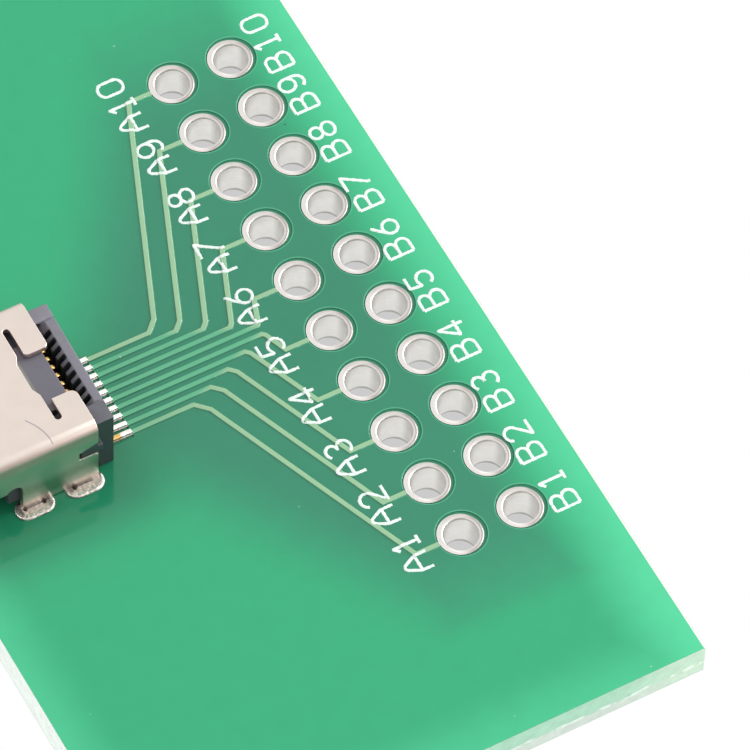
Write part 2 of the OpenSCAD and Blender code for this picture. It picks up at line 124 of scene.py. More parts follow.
class Value:
    """A socket's value. Arithmetic on it adds Math nodes to its tree, and | takes the larger of two."""

    def __init__(self, graph: "Graph", socket: Socket) -> None:
        """Keeps the socket and the builder of its tree."""
        self.graph = graph
        self.socket = socket

    def __add__(self, other: Feed) -> "Value":
        """Returns the sum."""
        return self.graph.math("ADD", self, other)

    def __sub__(self, other: Feed) -> "Value":
        """Returns the difference."""
        return self.graph.math("SUBTRACT", self, other)

    def __rsub__(self, other: Feed) -> "Value":
        """Returns another number less this one."""
        return self.graph.math("SUBTRACT", other, self)

    def __mul__(self, other: Feed) -> "Value":
        """Returns the product."""
        return self.graph.math("MULTIPLY", self, other)

    def __truediv__(self, other: Feed) -> "Value":
        """Returns the quotient."""
        return self.graph.math("DIVIDE", self, other)

    def __mod__(self, other: Feed) -> "Value":
        """Returns the floored remainder."""
        return self.graph.math("FLOORED_MODULO", self, other)

    def __or__(self, other: Feed) -> "Value":
        """Returns the larger of two values."""
        return self.graph.math("MAXIMUM", self, other)

    def __lt__(self, other: Feed) -> "Value":
        """Returns 1 where this is below another value."""
        return self.graph.math("LESS_THAN", self, other)

    def __gt__(self, other: Feed) -> "Value":
        """Returns 1 where this is above another value."""
        return self.graph.math("GREATER_THAN", self, other)

    def __abs__(self) -> "Value":
        """Returns the value without its sign."""
        return self.graph.math("ABSOLUTE", self)

    def ramp(self, low: float, high: float) -> "Value":
        """Returns a smooth step from 0 at low to 1 at high."""
        return self.graph.out("ShaderNodeMapRange", {"Value": self, "From Min": low, "From Max": high},
                              interpolation_type="SMOOTHSTEP")

    def span(self, low: float, high: float, at_low: float, at_high: float) -> "Value":
        """Returns the value mapped straight from one span to another, clamped at both ends."""
        return self.graph.out("ShaderNodeMapRange", {"Value": self, "From Min": low, "From Max": high,
                                                     "To Min": at_low, "To Max": at_high})

    def from_nearest(self, first: float, pitch: float) -> "Value":
        """Returns the offset from the nearest of a row of evenly spaced places."""
        return (self - (first - pitch / 2)) % pitch - pitch / 2


class Graph:
    """Small builder for a node tree."""

    def __init__(self, tree: bpy.types.NodeTree) -> None:
        """Keeps the tree that the nodes go into."""
        self.tree = tree

    @classmethod
    def fresh(cls, owner: Any) -> "Graph":
        """Returns the builder of the emptied node tree of a material or world."""
        owner.use_nodes = True
        owner.node_tree.nodes.clear()
        return cls(owner.node_tree)

    def feed(self, socket: Socket, value: Feed) -> None:
        """Links a socket to another one, or sets its plain value."""
        value = value.socket if isinstance(value, Value) else value
        if isinstance(value, bpy.types.NodeSocket):
            self.tree.links.new(value, socket)
        else:
            socket.default_value = value

    def node(self, kind: str, inputs: Inputs | None = None, **options: Any) -> bpy.types.Node:
        """Makes one node.

        Args:
            kind: Blender's type name of the node.
            inputs: Values or sockets by input name, identifier or index.
            options: Properties of the node itself.

        Returns:
            The new node.
        """
        made = self.tree.nodes.new(kind)
        for key, value in options.items():
            setattr(made, key, value)
        for key, value in (inputs or {}).items():
            self.feed(self.find(made.inputs, key), value)
        return made

    def out(self, kind: str, inputs: Inputs | None = None, key: Union[str, int] = 0, **options: Any) -> Value:
        """Makes one node and returns one of its outputs."""
        return Value(self, self.find(self.node(kind, inputs, **options).outputs, key))

    def given(self) -> dict[str, Value]:
        """Adds a group's input node and returns its values by name."""
        sockets = self.node("NodeGroupInput").outputs
        return {socket.name: Value(self, socket) for socket in sockets if socket.name}

    @staticmethod
    def find(sockets: Any, key: Union[str, int]) -> Socket:
        """Finds an enabled socket by index, identifier or name."""
        if isinstance(key, int):
            return sockets[key]
        usable = [socket for socket in sockets if socket.enabled]
        for socket in usable:
            if socket.identifier == key:
                return socket
        for socket in usable:
            if socket.name == key:
                return socket
        raise KeyError(key)

    def math(self, operation: str, a: Feed, b: Feed = 0.0, clamp: bool = False) -> Value:
        """Adds a Math node and returns its result."""
        return self.out("ShaderNodeMath", {0: a, 1: b}, operation=operation, use_clamp=clamp)

    def hypot(self, a: Value, b: Value) -> Value:
        """Returns the length of two offsets at right angles."""
        return self.math("SQRT", a * a + b * b)

    def scaled(self, vector: Feed, by: Feed) -> Value:
        """Returns a vector or a colour times a number."""
        return self.out("ShaderNodeVectorMath", {0: vector, "Scale": by}, operation="SCALE")

    def mix(self, share: Feed, a: Feed, b: Feed) -> Value:
        """Returns a mix of two colours."""
        return self.out("ShaderNodeMix", {"Factor_Float": share, "A_Color": a, "B_Color": b}, "Result_Color",
                        data_type="RGBA")

    def layered(self, base: Feed, *layers: tuple[Feed, Feed]) -> Feed:
        """Returns a colour with others laid over it in turn, each as its share and colour."""
        for share, colour in layers:
            base = self.mix(share, base, colour)
        return base

    def noise(self, vector: Feed, scale: Feed, detail: float = 2.0) -> Value:
        """Returns a noise value of about 0 to 1."""
        return self.out("ShaderNodeTexNoise", {"Vector": vector, "Scale": scale, "Detail": detail})

    def place(self) -> Value:
        """Returns the Object coordinates in millimetres."""
        return self.scaled(self.out("ShaderNodeTexCoord", key="Object"), 1 / MM)

    def facing_up(self) -> Value:
        """Returns how much the surface faces upwards, from -1 to 1."""
        return self.split(self.out("ShaderNodeTexCoord", key="Normal"))[2]

    def split(self, vector: Feed) -> list[Value]:
        """Returns the three parts of a vector."""
        return [Value(self, part) for part in self.node("ShaderNodeSeparateXYZ", {0: vector}).outputs]

    def joined(self, x: Feed, y: Feed, z: Feed) -> Value:
        """Returns a vector of three parts."""
        return self.out("ShaderNodeCombineXYZ", {0: x, 1: y, 2: z})


class SharedEffects:
    """Shader node groups that several finishes use."""

    @staticmethod
    def _new(name: str, inputs: dict[str, str],
             outputs: Iterable[str]) -> tuple[Any, Graph, dict[str, Value]]:
        """Starts a group.

        Args:
            name: Name of the group.
            inputs: Socket type by input name.
            outputs: Names of the outputs, all plain values.

        Returns:
            The tree, its graph, and its inputs by name.
        """
        tree = bpy.data.node_groups.new(name, "ShaderNodeTree")
        for key, kind in inputs.items():
            tree.interface.new_socket(key, in_out="INPUT", socket_type=kind)
        for key in outputs:
            tree.interface.new_socket(key, in_out="OUTPUT", socket_type="NodeSocketFloat")
        graph = Graph(tree)
        return tree, graph, graph.given()

    @classmethod
    def mottle(cls) -> bpy.types.NodeTree:
        """Returns the uneven shade of a worked surface: a factor about 1, and a height."""
        found = bpy.data.node_groups.get("mottle")
        if found:
            return found
        tree, graph, get = cls._new("mottle", {
            "Vector": "NodeSocketVector", "Scale": "NodeSocketFloat",
            "Amount": "NodeSocketFloat"}, ["Shade", "Height"])
        wide = graph.noise(get["Vector"], get["Scale"], 4.0)
        graph.node("NodeGroupOutput", {"Shade": (wide - 0.5) * get["Amount"] * 2.0 + 1.0, "Height": wide})
        return tree

    @classmethod
    def specks(cls) -> bpy.types.NodeTree:
        """Returns scattered small specks as a mask: one in some cells of a grid, of a given radius."""
        found = bpy.data.node_groups.get("specks")
        if found:
            return found
        tree, graph, get = cls._new("specks", {
            "Vector": "NodeSocketVector", "Scale": "NodeSocketFloat", "Share": "NodeSocketFloat",
            "Radius": "NodeSocketFloat"}, ["Mask"])
        cells = graph.node("ShaderNodeTexVoronoi", {"Vector": get["Vector"], "Scale": get["Scale"]}).outputs
        there = graph.out("ShaderNodeSeparateColor", {0: cells["Color"]}) < get["Share"]
        near = graph.math("SUBTRACT", 1.0, Value(graph, cells["Distance"]) / get["Radius"], clamp=True)
        graph.node("NodeGroupOutput", {"Mask": there * near})
        return tree


@dataclass(frozen=True)
class Finish:
    """One finish: a name, a colour, and a material made when it is first needed."""

    name: str
    colour: Colour
    roughness: float

    def material(self) -> bpy.types.Material:
        """Returns this finish's material."""
        found = bpy.data.materials.get(self.name)
        if found:
            return found
        made = bpy.data.materials.new(self.name)
        graph = Graph.fresh(made)
        shader = graph.out("ShaderNodeBsdfPrincipled", {"Roughness": self.roughness, **self.dress(graph)})
        graph.node("ShaderNodeOutputMaterial", {"Surface": shader})
        return made

    def dress(self, graph: Graph) -> Inputs:
        """Returns the shader's inputs. A plain finish has only its colour."""
        return {"Base Color": self.colour}

    def uneven(self, height: Value, less: float, more: float) -> Value:
        """Returns a roughness that varies with a height."""
        return height.span(0.3, 0.7, self.roughness - less, self.roughness + more)

    @staticmethod
    def mottle(graph: Graph, place: Value, scale: float, amount: float) -> list[Value]:
        """Places the shared mottle and returns its shade and height."""
        made = graph.node("ShaderNodeGroup", {"Vector": place, "Scale": scale, "Amount": amount},
                          node_tree=SharedEffects.mottle())
        return [Value(graph, made.outputs[key]) for key in ("Shade", "Height")]

    @staticmethod
    def specks(graph: Graph, place: Value, scale: float, share: float, radius: float) -> Value:
        """Places the shared specks and returns their mask."""
        return graph.out("ShaderNodeGroup", {
            "Vector": place, "Scale": scale, "Share": share, "Radius": radius},
            "Mask", node_tree=SharedEffects.specks())

    @staticmethod
    def bump(graph: Graph, height: Value, strength: float, depth: float) -> Value:
        """Returns the normal of a height, with its depth in millimetres."""
        return graph.out("ShaderNodeBump", {"Strength": strength, "Distance": depth * MM, "Height": height})


@dataclass(frozen=True)
class MaskFinish(Finish):
    """Green solder mask, with painted light and shade: brighter where light would come through the bare
    board, duller over the conductors, with painted highlights on some traces and painted shadow lines beside
    them.
    """

    # dull: painted shade over the fan of conductors, where they keep light from coming up through the board
    dull: Colour = (0.028, 0.25, 0.14, 1.0)
    # painted light towards the board's edges, where light comes up through the bare board
    painted_glow: Colour = (0.082, 0.67, 0.34, 1.0)
    ridge: Colour = (0.13, 0.50, 0.275, 1.0)
    # painted highlight on the slanting traces and on the first and last trace
    slant_highlight: Colour = (0.36, 0.60, 0.35, 1.0)
    # painted shadow line below each trace, and also the colour of one dark speck on the coat
    shadow_line_and_speck: Colour = (0.02, 0.17, 0.09, 1.0)
    rim: Colour = (0.12, 0.52, 0.31, 1.0)
    strip: Colour = tone(246, 248, 238)
    cut: Colour = tone(218, 232, 222)
    dust: Colour = tone(190, 226, 208)
    # painted shade on the coat in front of the shell's near wall
    shade: Colour = (0.013, 0.185, 0.09, 1.0)
    strip_w: float = 0.07
    side_w: float = 0.03
    opening_r: float = 0.97
    fan_shift: float = 0.8
    speck: Point = (8.71, 7.78)
    line_y: float = -0.235

    def _tone(self, graph: Graph, x: Value, y: Value, z: Value) -> Value:
        """Returns the coat's colour by place: painted shade on the fan of conductors, painted light at the
        edges, and painted shade before the shell.
        """
        # painted shade over the fan, and painted light towards the right, left and end edges
        fan_half = x.span(-3.0, 3.9, 1.9, 12.4)
        beside_fan = (abs(y + self.fan_shift) - fan_half).ramp(-3.0, 5.0)
        past_header = x.ramp(7.2, 10.0) | y.ramp(-13.2, -15.8)
        right = (y.ramp(-13.0, -17.0) * 0.45 + x).ramp(8.5, 11.8)
        left = x.ramp(-9.2, -11.7) * 0.6
        ends = abs(y).ramp(17.5, 20.0) * 0.5
        # painted shade on the top face in front of the shell's near wall
        before_shell = y.ramp(-6.4, -3.4) * x.ramp(-1.0, -4.6) * (y < -2.0) * (z > LAYOUT.inside_z)
        return graph.layered(self.dull, (beside_fan | past_header, self.colour),
                             (right | left | ends, self.painted_glow), (before_shell * 0.8, self.shade))

    def _ridges(self, graph: Graph, x: Value, y: Value, z: Value, coat: Value) -> Value:
        """Lightens the coat over the traces, with a painted highlight where they slant and on the first and
        last trace, and paints a shadow line beside each trace in their row.
        """
        from_row = abs(y - LAYOUT.contact_y)
        slanting = (x - (from_row * -2.34 + 3.87)).ramp(-0.6, 0.25)
        last = (y > 1.6) * (y < 1.95)
        first = (y < -1.7) * x.span(-4.0, -0.5, 0.15, 0.75)
        # the slanting, last and first traces take the painted highlight
        line = graph.mix(slanting | last | first, self.ridge, self.slant_highlight)
        # painted shadow line beside the lower edge of each trace in the row
        gap = abs(y.from_nearest(self.line_y, LAYOUT.contact_pitch) + 0.115).ramp(0.045, 0.015)
        in_row = x.ramp(-3.7, -3.4) * slanting.ramp(0.5, 0.1) * (from_row < 5 * LAYOUT.contact_pitch)
        return graph.layered(coat, (z.ramp(1.624, 1.637) * 0.9, line),
                             (gap * in_row * (z > LAYOUT.inside_z) * 0.5, self.shadow_line_and_speck))

    def _rims(self, graph: Graph, x: Value, y: Value, z: Value, coat: Value) -> Value:
        """Adds the lighter rim around each ring's opening on the top face."""
        pitch, column, (shift_x, shift_y) = LAYOUT.pitch, LAYOUT.column_a, LAYOUT.coat_shift
        radius = graph.hypot(x.from_nearest(column + shift_x, pitch),
                             y.from_nearest(shift_y + pitch / 2, pitch))
        ring = abs(radius - (self.opening_r + 0.02)).ramp(0.045, 0.01)
        near = ((x > column - pitch / 2) * (x < column + pitch * 1.5) * (abs(y) < 5 * pitch)
                * (z > LAYOUT.inside_z))
        return graph.mix(ring * near * 0.7, coat, self.rim)

    def dress(self, graph: Graph) -> Inputs:
        """Builds the coat's painted light and shade, ridges, rims, dust and skin."""
        place = graph.place()
        x, y, z = graph.split(place)
        coat = self._tone(graph, x, y, z)
        coat = self._rims(graph, x, y, z, coat)
        coat = self._ridges(graph, x, y, z, coat)
        shade, height = self.mottle(graph, place, 1.2, 0.05)
        at_side = abs(graph.facing_up()) < 0.5
        outside = (abs(y) > LAYOUT.half_y - self.side_w) | (abs(x) > LAYOUT.half_x - self.side_w)
        from_speck = abs(x - self.speck[0]) + abs(y - self.speck[1])
        coat = graph.layered(
            graph.scaled(coat, shade), (x > LAYOUT.half_x - self.strip_w, self.strip),
            (at_side * outside, self.cut),
            (from_speck.ramp(0.07, 0.04) * (z > LAYOUT.inside_z), self.shadow_line_and_speck),
            (self.specks(graph, place, 1.1, 0.16, 0.05), self.dust))
        return {"Base Color": coat,
                "Roughness": height.span(0.2, 0.8, self.roughness - 0.04, self.roughness + 0.05),
                "Normal": self.bump(graph, graph.noise(place, 9.0, 3.0), 0.02, 0.02)}


@dataclass(frozen=True)
class LaminateFinish(Finish):
    """Glass-fibre core: pale layered cut sides, and a dark green face where an opening bares it."""

    face: Colour = (0.034, 0.225, 0.125, 1.0)
    upper: Colour = tone(176, 222, 196)
    corner: Colour = tone(206, 234, 210)
    dash: Colour = tone(234, 248, 238)
    # painted light: the left cut side painted near white, as if burnt out by strong light
    painted_lit_side: Colour = tone(240, 248, 242)
    layer_z: float = 0.62
    face_low: float = 0.0705
    face_high: float = 1.5695

    def dress(self, graph: Graph) -> Inputs:
        """Builds the layered cut sides, with a row of bright fibre ends, and the bare faces."""
        place = graph.place()
        x, y, z = graph.split(place)
        level = (graph.noise(place, 0.9, 1.0) - 0.5) * 0.3 + z
        bundles = graph.noise(graph.joined(x + y, 0.0, z * 0.6), 1.6, 2.0)
        dashes = abs(level - self.layer_z).ramp(0.13, 0.05) * bundles.ramp(0.43, 0.52)
        side = graph.layered(
            self.colour, (level.ramp(self.layer_z - 0.12, self.layer_z + 0.1), self.upper),
            (x.ramp(7.0, LAYOUT.half_x) * 0.9, self.corner), (dashes, self.dash),
            # painted light on the left cut side
            (x < 0.01 - LAYOUT.half_x, self.painted_lit_side))
        shade, height = self.mottle(graph, place, 3.2, 0.17)
        bare = (z > self.face_high) | (z < self.face_low)
        return {"Base Color": graph.mix(bare, graph.scaled(side, shade), self.face),
                "Specular IOR Level": 0.25, "Normal": self.bump(graph, height, 0.3, 0.04)}


@dataclass(frozen=True)
class TinFinish(Finish):
    """Tinned copper: pale and soft, a little pink, with fine turned marks, painted shade on parts of each
    ring, and painted light and shade down the bores, darkest at their lower ends.
    """

    # pink tint of the tin, with painted shade on the outer band and the right half of each ring
    blush_and_shade: Colour = tone(230, 222, 218)
    # painted shade on the back and right side of each ring
    far_side_shade: Colour = tone(208, 203, 198)
    # painted shade on the lamp-lit left slope of each ring, damping its highlight
    lit: Colour = tone(200, 197, 193)
    # painted shade on the left side of each ring's inner edge
    lip: Colour = tone(150, 147, 143)
    # painted shade along the outer edge of each ring's right side
    rim: Colour = tone(176, 170, 166)
    shadow: Colour = tone(120, 118, 114)
    # painted light on the top of each bore's side, fading down to the darker bore colour below
    painted_bore_top: Colour = tone(254, 253, 249)
    bore: Colour = tone(238, 237, 232)
    right: Point = (0.891, -0.454)
    back: Point = (0.464, 0.886)

    @staticmethod
    def _along(x: Value, y: Value, way: Point) -> Value:
        """Returns a place's offset from the nearest hole along one direction, in bore radii."""
        from_x = x.from_nearest(LAYOUT.column_a, LAYOUT.pitch)
        from_y = y.from_nearest(LAYOUT.pitch / 2, LAYOUT.pitch)
        return from_x * (way[0] / LAYOUT.bore_r) + from_y * (way[1] / LAYOUT.bore_r)

    def dress(self, graph: Graph) -> Inputs:
        """Builds the uneven tin, the painted shade on the rings, and the painted light and shade down each
        bore.
        """
        place = graph.place()
        x, y, z = graph.split(place)
        top = LAYOUT.ring_top
        shade, height = self.mottle(graph, place, 3.5, 0.05)
        to_right, to_back = self._along(x, y, self.right), self._along(x, y, self.back)
        radius = graph.hypot(to_right, to_back)
        on_ring = z.ramp(top - 0.08, top - 0.04) * height.span(0.35, 0.65, 0.55, 1.0)
        right_half = to_right.ramp(-0.1, 0.5)
        inside = z.ramp(top - 0.03, top - 0.06)
        # painted shade inside the bores: on the sides, under the back lip and at the bottom
        sides = (to_right.ramp(0.35, 0.85) | to_right.ramp(-0.6, -0.95)) * 0.55
        under_lip = z.ramp(top - 0.12, top - 0.07) * to_back.ramp(0.4, 0.85)
        dark = (sides | under_lip | z.ramp(0.2, 0.1)) * inside * 0.62
        base = graph.layered(
            # painted shade with the tin's pink tint on the outer band and right half, then painted shade on
            # the back and right side
            self.colour, ((radius.ramp(1.08, 1.2) | right_half) * on_ring, self.blush_and_shade),
            ((right_half | to_back.ramp(0.5, 0.95)) * on_ring, self.far_side_shade),
            # painted shade on the left slope and inner edge, damping the lamp's highlight
            (radius.ramp(1.18, 1.06) * to_right.ramp(-0.3, -0.8) * on_ring, self.lit),
            (radius.ramp(1.02, 0.95) * to_right.ramp(-0.3, -0.7) * on_ring, self.lip),
            # painted shade along the right outer edge
            (radius.ramp(1.1, 1.18) * to_right.ramp(0.2, 0.7), self.rim),
            # painted light and shade down the bore
            (inside, graph.mix(z.ramp(1.3, 0.2), self.painted_bore_top, self.bore)), (dark, self.shadow))
        marks = graph.noise(graph.joined(x * 1.4, y * 1.4, z * 9.0), 1.5, 3.0)
        streak = ((marks - 0.5) * inside).span(-0.3, 0.3, 0.95, 1.05)
        return {"Base Color": graph.scaled(base, shade * streak), "Metallic": 1.0,
                "Roughness": self.uneven(height, 0.06, 0.08),
                "Normal": self.bump(graph, graph.noise(place, 7.0, 3.0), 0.1, 0.02)}


@dataclass(frozen=True)
class NickelFinish(Finish):
    """Rolled nickel-plated sheet: warm and satin, with faint grain and one curved scratch on the top."""

    scuff: Colour = tone(196, 184, 180)
    scratch: Colour = tone(150, 140, 156)
    scratch_from: Point = (-7.22, -1.46)
    scratch_to: Point = (-6.73, -2.99)
    scratch_bow: float = 0.15
    scratch_w: float = 0.035
    # painted shade on the upward-facing cut edges below the fold, damping their reflection of the bright sky
    edge: Colour = tone(140, 136, 130)
    fold_z: float = 4.55
    fold_wear: float = 0.16
    # painted shade along the fold, standing in for the darker surroundings that it reflects
    fold: Colour = tone(204, 176, 170)
    joint_z: float = 1.85
    # painted reflection of the green board on the legs above the solder joints, fading the solder's glint
    painted_leg_reflection: Colour = (0.36, 0.45, 0.34, 1.0)

    def _scratch(self, graph: Graph, x: Value, y: Value, z: Value) -> Value:
        """Returns the mask of the scratch: a thin bowed line on the top face."""
        run = (self.scratch_to[0] - self.scratch_from[0], self.scratch_to[1] - self.scratch_from[1])
        length = math.hypot(*run)
        way = (run[0] / length, run[1] / length)
        from_x, from_y = x - self.scratch_from[0], y - self.scratch_from[1]
        along = (from_x * way[0] + from_y * way[1]) / length
        across = from_x * -way[1] + from_y * way[0]
        bow = graph.math("SINE", along * math.pi) * self.scratch_bow
        line = abs(across - bow).ramp(self.scratch_w, self.scratch_w / 3)
        return line * along.ramp(0.0, 0.06) * along.ramp(1.0, 0.9) * (z > LAYOUT.shell_top - 0.1)

    def dress(self, graph: Graph) -> Inputs:
        """Builds the sheet's grain, scuffs, scratch and roughness, with painted shade on the fold and on
        upward edges, and a painted reflection on the legs.
        """
        place = graph.place()
        x, y, z = graph.split(place)
        shade, height = self.mottle(graph, place, 1.4, 0.04)
        grain = graph.noise(graph.joined(x * 0.5, y * 22.0, z * 22.0), 1.0, 3.0).ramp(0.62, 0.72)
        # painted shade along the fold
        on_fold = (z.ramp(self.fold_z - 0.6, self.fold_z + 0.1)
                   * z.ramp(LAYOUT.shell_top - 0.05, LAYOUT.shell_top - 0.2))
        # painted shade on upward-facing edges below the fold
        upward_edge_shade = graph.facing_up().ramp(0.3, 0.7) * z.ramp(self.fold_z, self.fold_z - 0.1)
        base = graph.layered(
            self.colour, (grain * 0.1, self.scuff), (self._scratch(graph, x, y, z) * 0.75, self.scratch),
            (on_fold * 0.9, self.fold),
            # painted reflection of the board on the legs
            (z.ramp(self.joint_z, self.joint_z + 0.35) * z.ramp(3.3, 2.6), self.painted_leg_reflection),
            (upward_edge_shade * 0.8, self.edge))
        return {"Base Color": graph.scaled(base, shade), "Metallic": 1.0,
                "Roughness": on_fold * self.fold_wear + self.uneven(height, 0.02, 0.03)}


@dataclass(frozen=True)
class ContactFinish(Finish):
    """Contact strip: gold inside the receptacle, tinned on the feet, with the first foot bare at its root."""

    tin: Colour = tone(246, 243, 238)
    foot_x: float = -4.1
    first_y: float = -1.6
    root_len: float = 0.68

    def dress(self, graph: Graph) -> Inputs:
        """Builds the two platings and their uneven border."""
        place = graph.place()
        x, y, _ = graph.split(place)
        shade, height = self.mottle(graph, place, 5.0, 0.1)
        border = height * 0.3 + x + (y < self.first_y) * -self.root_len
        base = graph.mix(border.ramp(self.foot_x + 0.1, self.foot_x + 0.2), self.colour, self.tin)
        return {"Base Color": graph.scaled(base, shade), "Metallic": 1.0,
                "Roughness": self.uneven(height, 0.05, 0.08)}


@dataclass(frozen=True)
class SolderFinish(Finish):
    """Solder: bright, wrinkled where it froze, with brown flux in its crevices and painted shade at the open
    ends of the leg joints.
    """

    # brown of the crevices' flux, also used for the painted shade at the leg joints' open ends
    flux_and_shade: Colour = tone(62, 54, 46)
    flux_low: float = 1.57
    flux_high: float = 1.64
    end_shade_x: tuple[float, ...] = (-8.2, -7.04, -6.1)
    joint_y: float = 3.24

    def _open_end_shade(self, graph: Graph, x: Value, y: Value, height: Value) -> Value:
        """Returns the mask of the painted shade at the open ends of the leg joints."""
        aside = (abs(y - LAYOUT.middle_y) - self.joint_y) * 0.65
        end_shade: Feed = 0.0
        for place in self.end_shade_x:
            end_shade = (height * 0.3 + graph.hypot(x - place, aside)).ramp(0.36, 0.19) | end_shade
        return end_shade * 0.85

    def dress(self, graph: Graph) -> Inputs:
        """Builds the frozen skin, the flux, and the painted shade at the joints' open ends."""
        place = graph.place()
        shade, height = self.mottle(graph, place, 6.0, 0.22)
        x, y, z = graph.split(place)
        # flux in the crevices, and painted shade at the leg joints' open ends
        crevice = (z.ramp(self.flux_high, self.flux_low) | self._open_end_shade(graph, x, y, height)) * (z > 0.8)
        base = graph.mix(crevice, self.colour, self.flux_and_shade)
        return {"Base Color": graph.scaled(base, shade), "Metallic": 1.0 - crevice,
                "Roughness": self.uneven(height, 0.08, 0.1), "Normal": self.bump(graph, height, 0.9, 0.06)}


@dataclass(frozen=True)
class PlasticFinish(Finish):
    """Moulded glass-filled plastic: dark grey, matt, with painted light on its upper faces and pale dust
    specks.
    """

    # painted light on the upper faces, and also the colour of the pale dust specks
    top_light_and_dust: Colour = tone(130, 128, 138)
    # dimmer painted light on the top of the comb's end piece
    block_top_light: Colour = tone(98, 98, 106)
    block_y: float = -1.72
    # painted light on the insulator's top, seen through the opening in the shell's top
    window_top_light: Colour = tone(110, 108, 118)
    # painted light on a band along the front edge of that opening
    edge: Colour = tone(134, 138, 134)
    top_low: float = 3.9
    top_high: float = 4.1
    window_z: float = 4.68
    edge_x: float = -6.16

    def dress(self, graph: Graph) -> Inputs:
        """Builds the grain, the painted light on the tops and the pale dust specks."""
        place = graph.place()
        x, y, z = graph.split(place)
        shade, height = self.mottle(graph, place, 6.0, 0.12)
        # painted light on upward faces high on the mouldings
        top = z.ramp(self.top_low, self.top_high) * graph.facing_up().ramp(0.3, 0.75)
        top_light_and_dust = graph.mix(y.ramp(self.block_y, self.block_y - 0.1), self.top_light_and_dust, self.block_top_light)
        # painted light on the insulator's top, brighter along the opening's front edge
        window_top_light = graph.mix(x.ramp(self.edge_x + 0.05, self.edge_x - 0.05), self.window_top_light, self.edge)
        base = graph.scaled(graph.layered(self.colour, (top, top_light_and_dust), (z > self.window_z, window_top_light)), shade)
        dust = self.specks(graph, place, 3.0, 0.12, 0.06)
        return {"Base Color": graph.mix(dust * 0.5, base, self.top_light_and_dust),
                "Roughness": self.uneven(height, 0.06, 0.06),
                "Normal": self.bump(graph, graph.noise(place, 30.0, 2.0), 0.15, 0.01)}


@dataclass(frozen=True)
class InkFinish(Finish):
    """Screen-printed ink: chalky, a little uneven in cover."""

    thin: Colour = tone(205, 240, 224)

    def dress(self, graph: Graph) -> Inputs:
        """Builds the uneven cover."""
        shade, height = self.mottle(graph, graph.place(), 10.0, 0.03)
        cover = graph.mix(height.ramp(0.5, 0.75), self.colour, self.thin)
        return {"Base Color": graph.scaled(cover, shade), "Specular IOR Level": 0.2}


class Finishes:
    """All finishes of the part."""

    MASK = MaskFinish("solder_mask_coat", (0.024, 0.42, 0.19, 1.0), 0.09)
    LAMINATE = LaminateFinish("laminate_core", tone(216, 228, 218), 0.62)
    TIN = TinFinish("tinned_copper", tone(240, 236, 232), 0.4)
    NICKEL = NickelFinish("nickel_sheet", tone(227, 214, 204), 0.36)
    CONTACT = ContactFinish("plated_contact", tone(228, 188, 116), 0.3)
    SOLDER = SolderFinish("frozen_solder", tone(222, 215, 208), 0.3)
    PLASTIC = PlasticFinish("moulded_plastic", tone(52, 60, 63), 0.5)
    INK = InkFinish("legend_ink", tone(244, 252, 248), 0.6)
    TRACE = InkFinish("covered_trace", tone(96, 176, 132), 0.45, thin=tone(84, 168, 124))


